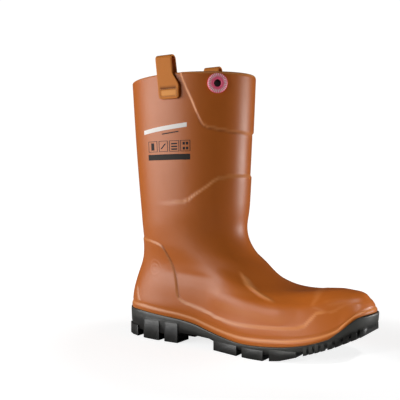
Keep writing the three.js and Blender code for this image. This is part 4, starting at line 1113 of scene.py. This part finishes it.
def ink_patch(corners, fine=(3, 14)):
    """A closed patch of ink between four places on the upper, each a level and an angle in degrees."""
    corners = np.array(corners, float)
    rows, count = fine
    down = np.linspace(0, 1, rows)[:, None, None]
    along = np.linspace(0, 1, count)[None, :, None]
    places = mix(mix(corners[0], corners[1], along), mix(corners[3], corners[2], along), down)
    level, turn = places[..., 0], np.radians(places[..., 1])
    top = upper_surface(level, turn, INK)
    base = upper_surface(level, turn, -INK)
    faces = []
    for r in range(rows - 1):
        for c in range(count - 1):
            quad = (r * count + c, (r + 1) * count + c, (r + 1) * count + c + 1, r * count + c + 1)
            faces.append(quad)
            faces.append(tuple(rows * count + i for i in reversed(quad)))
    last = (rows - 1) * count
    border = list(range(count)) + [r * count + count - 1 for r in range(1, rows)]
    border += [last + c for c in range(count - 2, -1, -1)] + [r * count for r in range(rows - 2, 0, -1)]
    for a, b in zip(border, border[1:] + border[:1]):
        faces.append((a, b, b + rows * count, a + rows * count))
    return np.concatenate([top.reshape(-1, 3), base.reshape(-1, 3)]), faces


def block(high, low, back, front, **fine):
    """A patch of ink between two levels and two angles."""
    return ink_patch([(high, back), (high, front), (low, front), (low, back)], **fine)


def outlined(high, low, back, front):
    """The four sides of an outlined square."""
    turn = OUTLINE / MM_PER_DEGREE
    return [
        block(high, high - OUTLINE, back, front),
        block(low + OUTLINE, low, back, front),
        block(high - OUTLINE, low + OUTLINE, back, back - turn, fine=(12, 2)),
        block(high - OUTLINE, low + OUTLINE, front + turn, front, fine=(12, 2)),
    ]


def rising_strip(back, front, above, below, count):
    """A strip of ink that rises towards the front, between two heights over the stripe's middle."""
    start, end = (mix(*STRIPE_LEVELS, (STRIPE_BACK - angle) / STRIPE_SPAN) for angle in (back, front))
    corners = [(start + above, back), (end + above, front), (end + below, front), (start + below, back)]
    return ink_patch(corners, fine=(3, count))


def printed(name, patches, colour, shade):
    """Patches of one ink, joined in one piece."""
    points, faces = [], []
    for patch_points, patch_faces in patches:
        faces += [tuple(len(points) + i for i in face) for face in patch_faces]
        points += patch_points.tolist()
    piece = mesh_piece(name, points, faces)
    piece.data.shade_flat()
    ink, _, ink_shader, _ = rubber_material(name + "_ink", colour, shade, 0.6, 1800.0, 0.4, 0.0002)
    ink_shader.inputs["Specular IOR Level"].default_value = 0.15
    piece.data.materials.append(ink)
    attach(piece, "root")


pale_stripe = [rising_strip(-60.0, -109.0, 2.4, -2.4, 60)]
printed("printed_pale_row", pale_stripe, PALE_INK, PALE_INK_DEEP)

dark_marks = [rising_strip(-84.0, -101.0, -5.6, -6.8, 24)]
for back, front in SQUARES:
    dark_marks += outlined(SQUARE_TOP, SQUARE_LOW, back, front)

# In the squares: a block, a slanted line, three lines and four dots, by shares of the square's width
solid, slanted, lined, dotted = SQUARES
dark_marks.append(block(228.6, 220.4, mix(*solid, 1 / 3), mix(*solid, 2 / 3), fine=(12, 4)))
dark_marks.append(ink_patch([
    (227.5, mix(*slanted, 2 / 3)), (227.5, mix(*slanted, 5 / 6)),
    (221.5, mix(*slanted, 1 / 3)), (221.5, mix(*slanted, 1 / 6)),
]))
for low in (220.2, 223.2, 226.2):
    dark_marks.append(block(low + 1.6, low, mix(*lined, 0.2), mix(*lined, 0.8)))
for low in (220.2, 225.6):
    for start, end in ((0.7 / 3, 1.4 / 3), (1.7 / 3, 0.8)):
        dark_marks.append(block(low + 3.0, low, mix(*dotted, start), mix(*dotted, end), fine=(4, 4)))
dark_marks.append(block(215.6, 209.2, -65.0, -111.8, fine=(4, 60)))
printed("printed_dark_marks", dark_marks, DARK_INK, DARK_INK_DEEP)
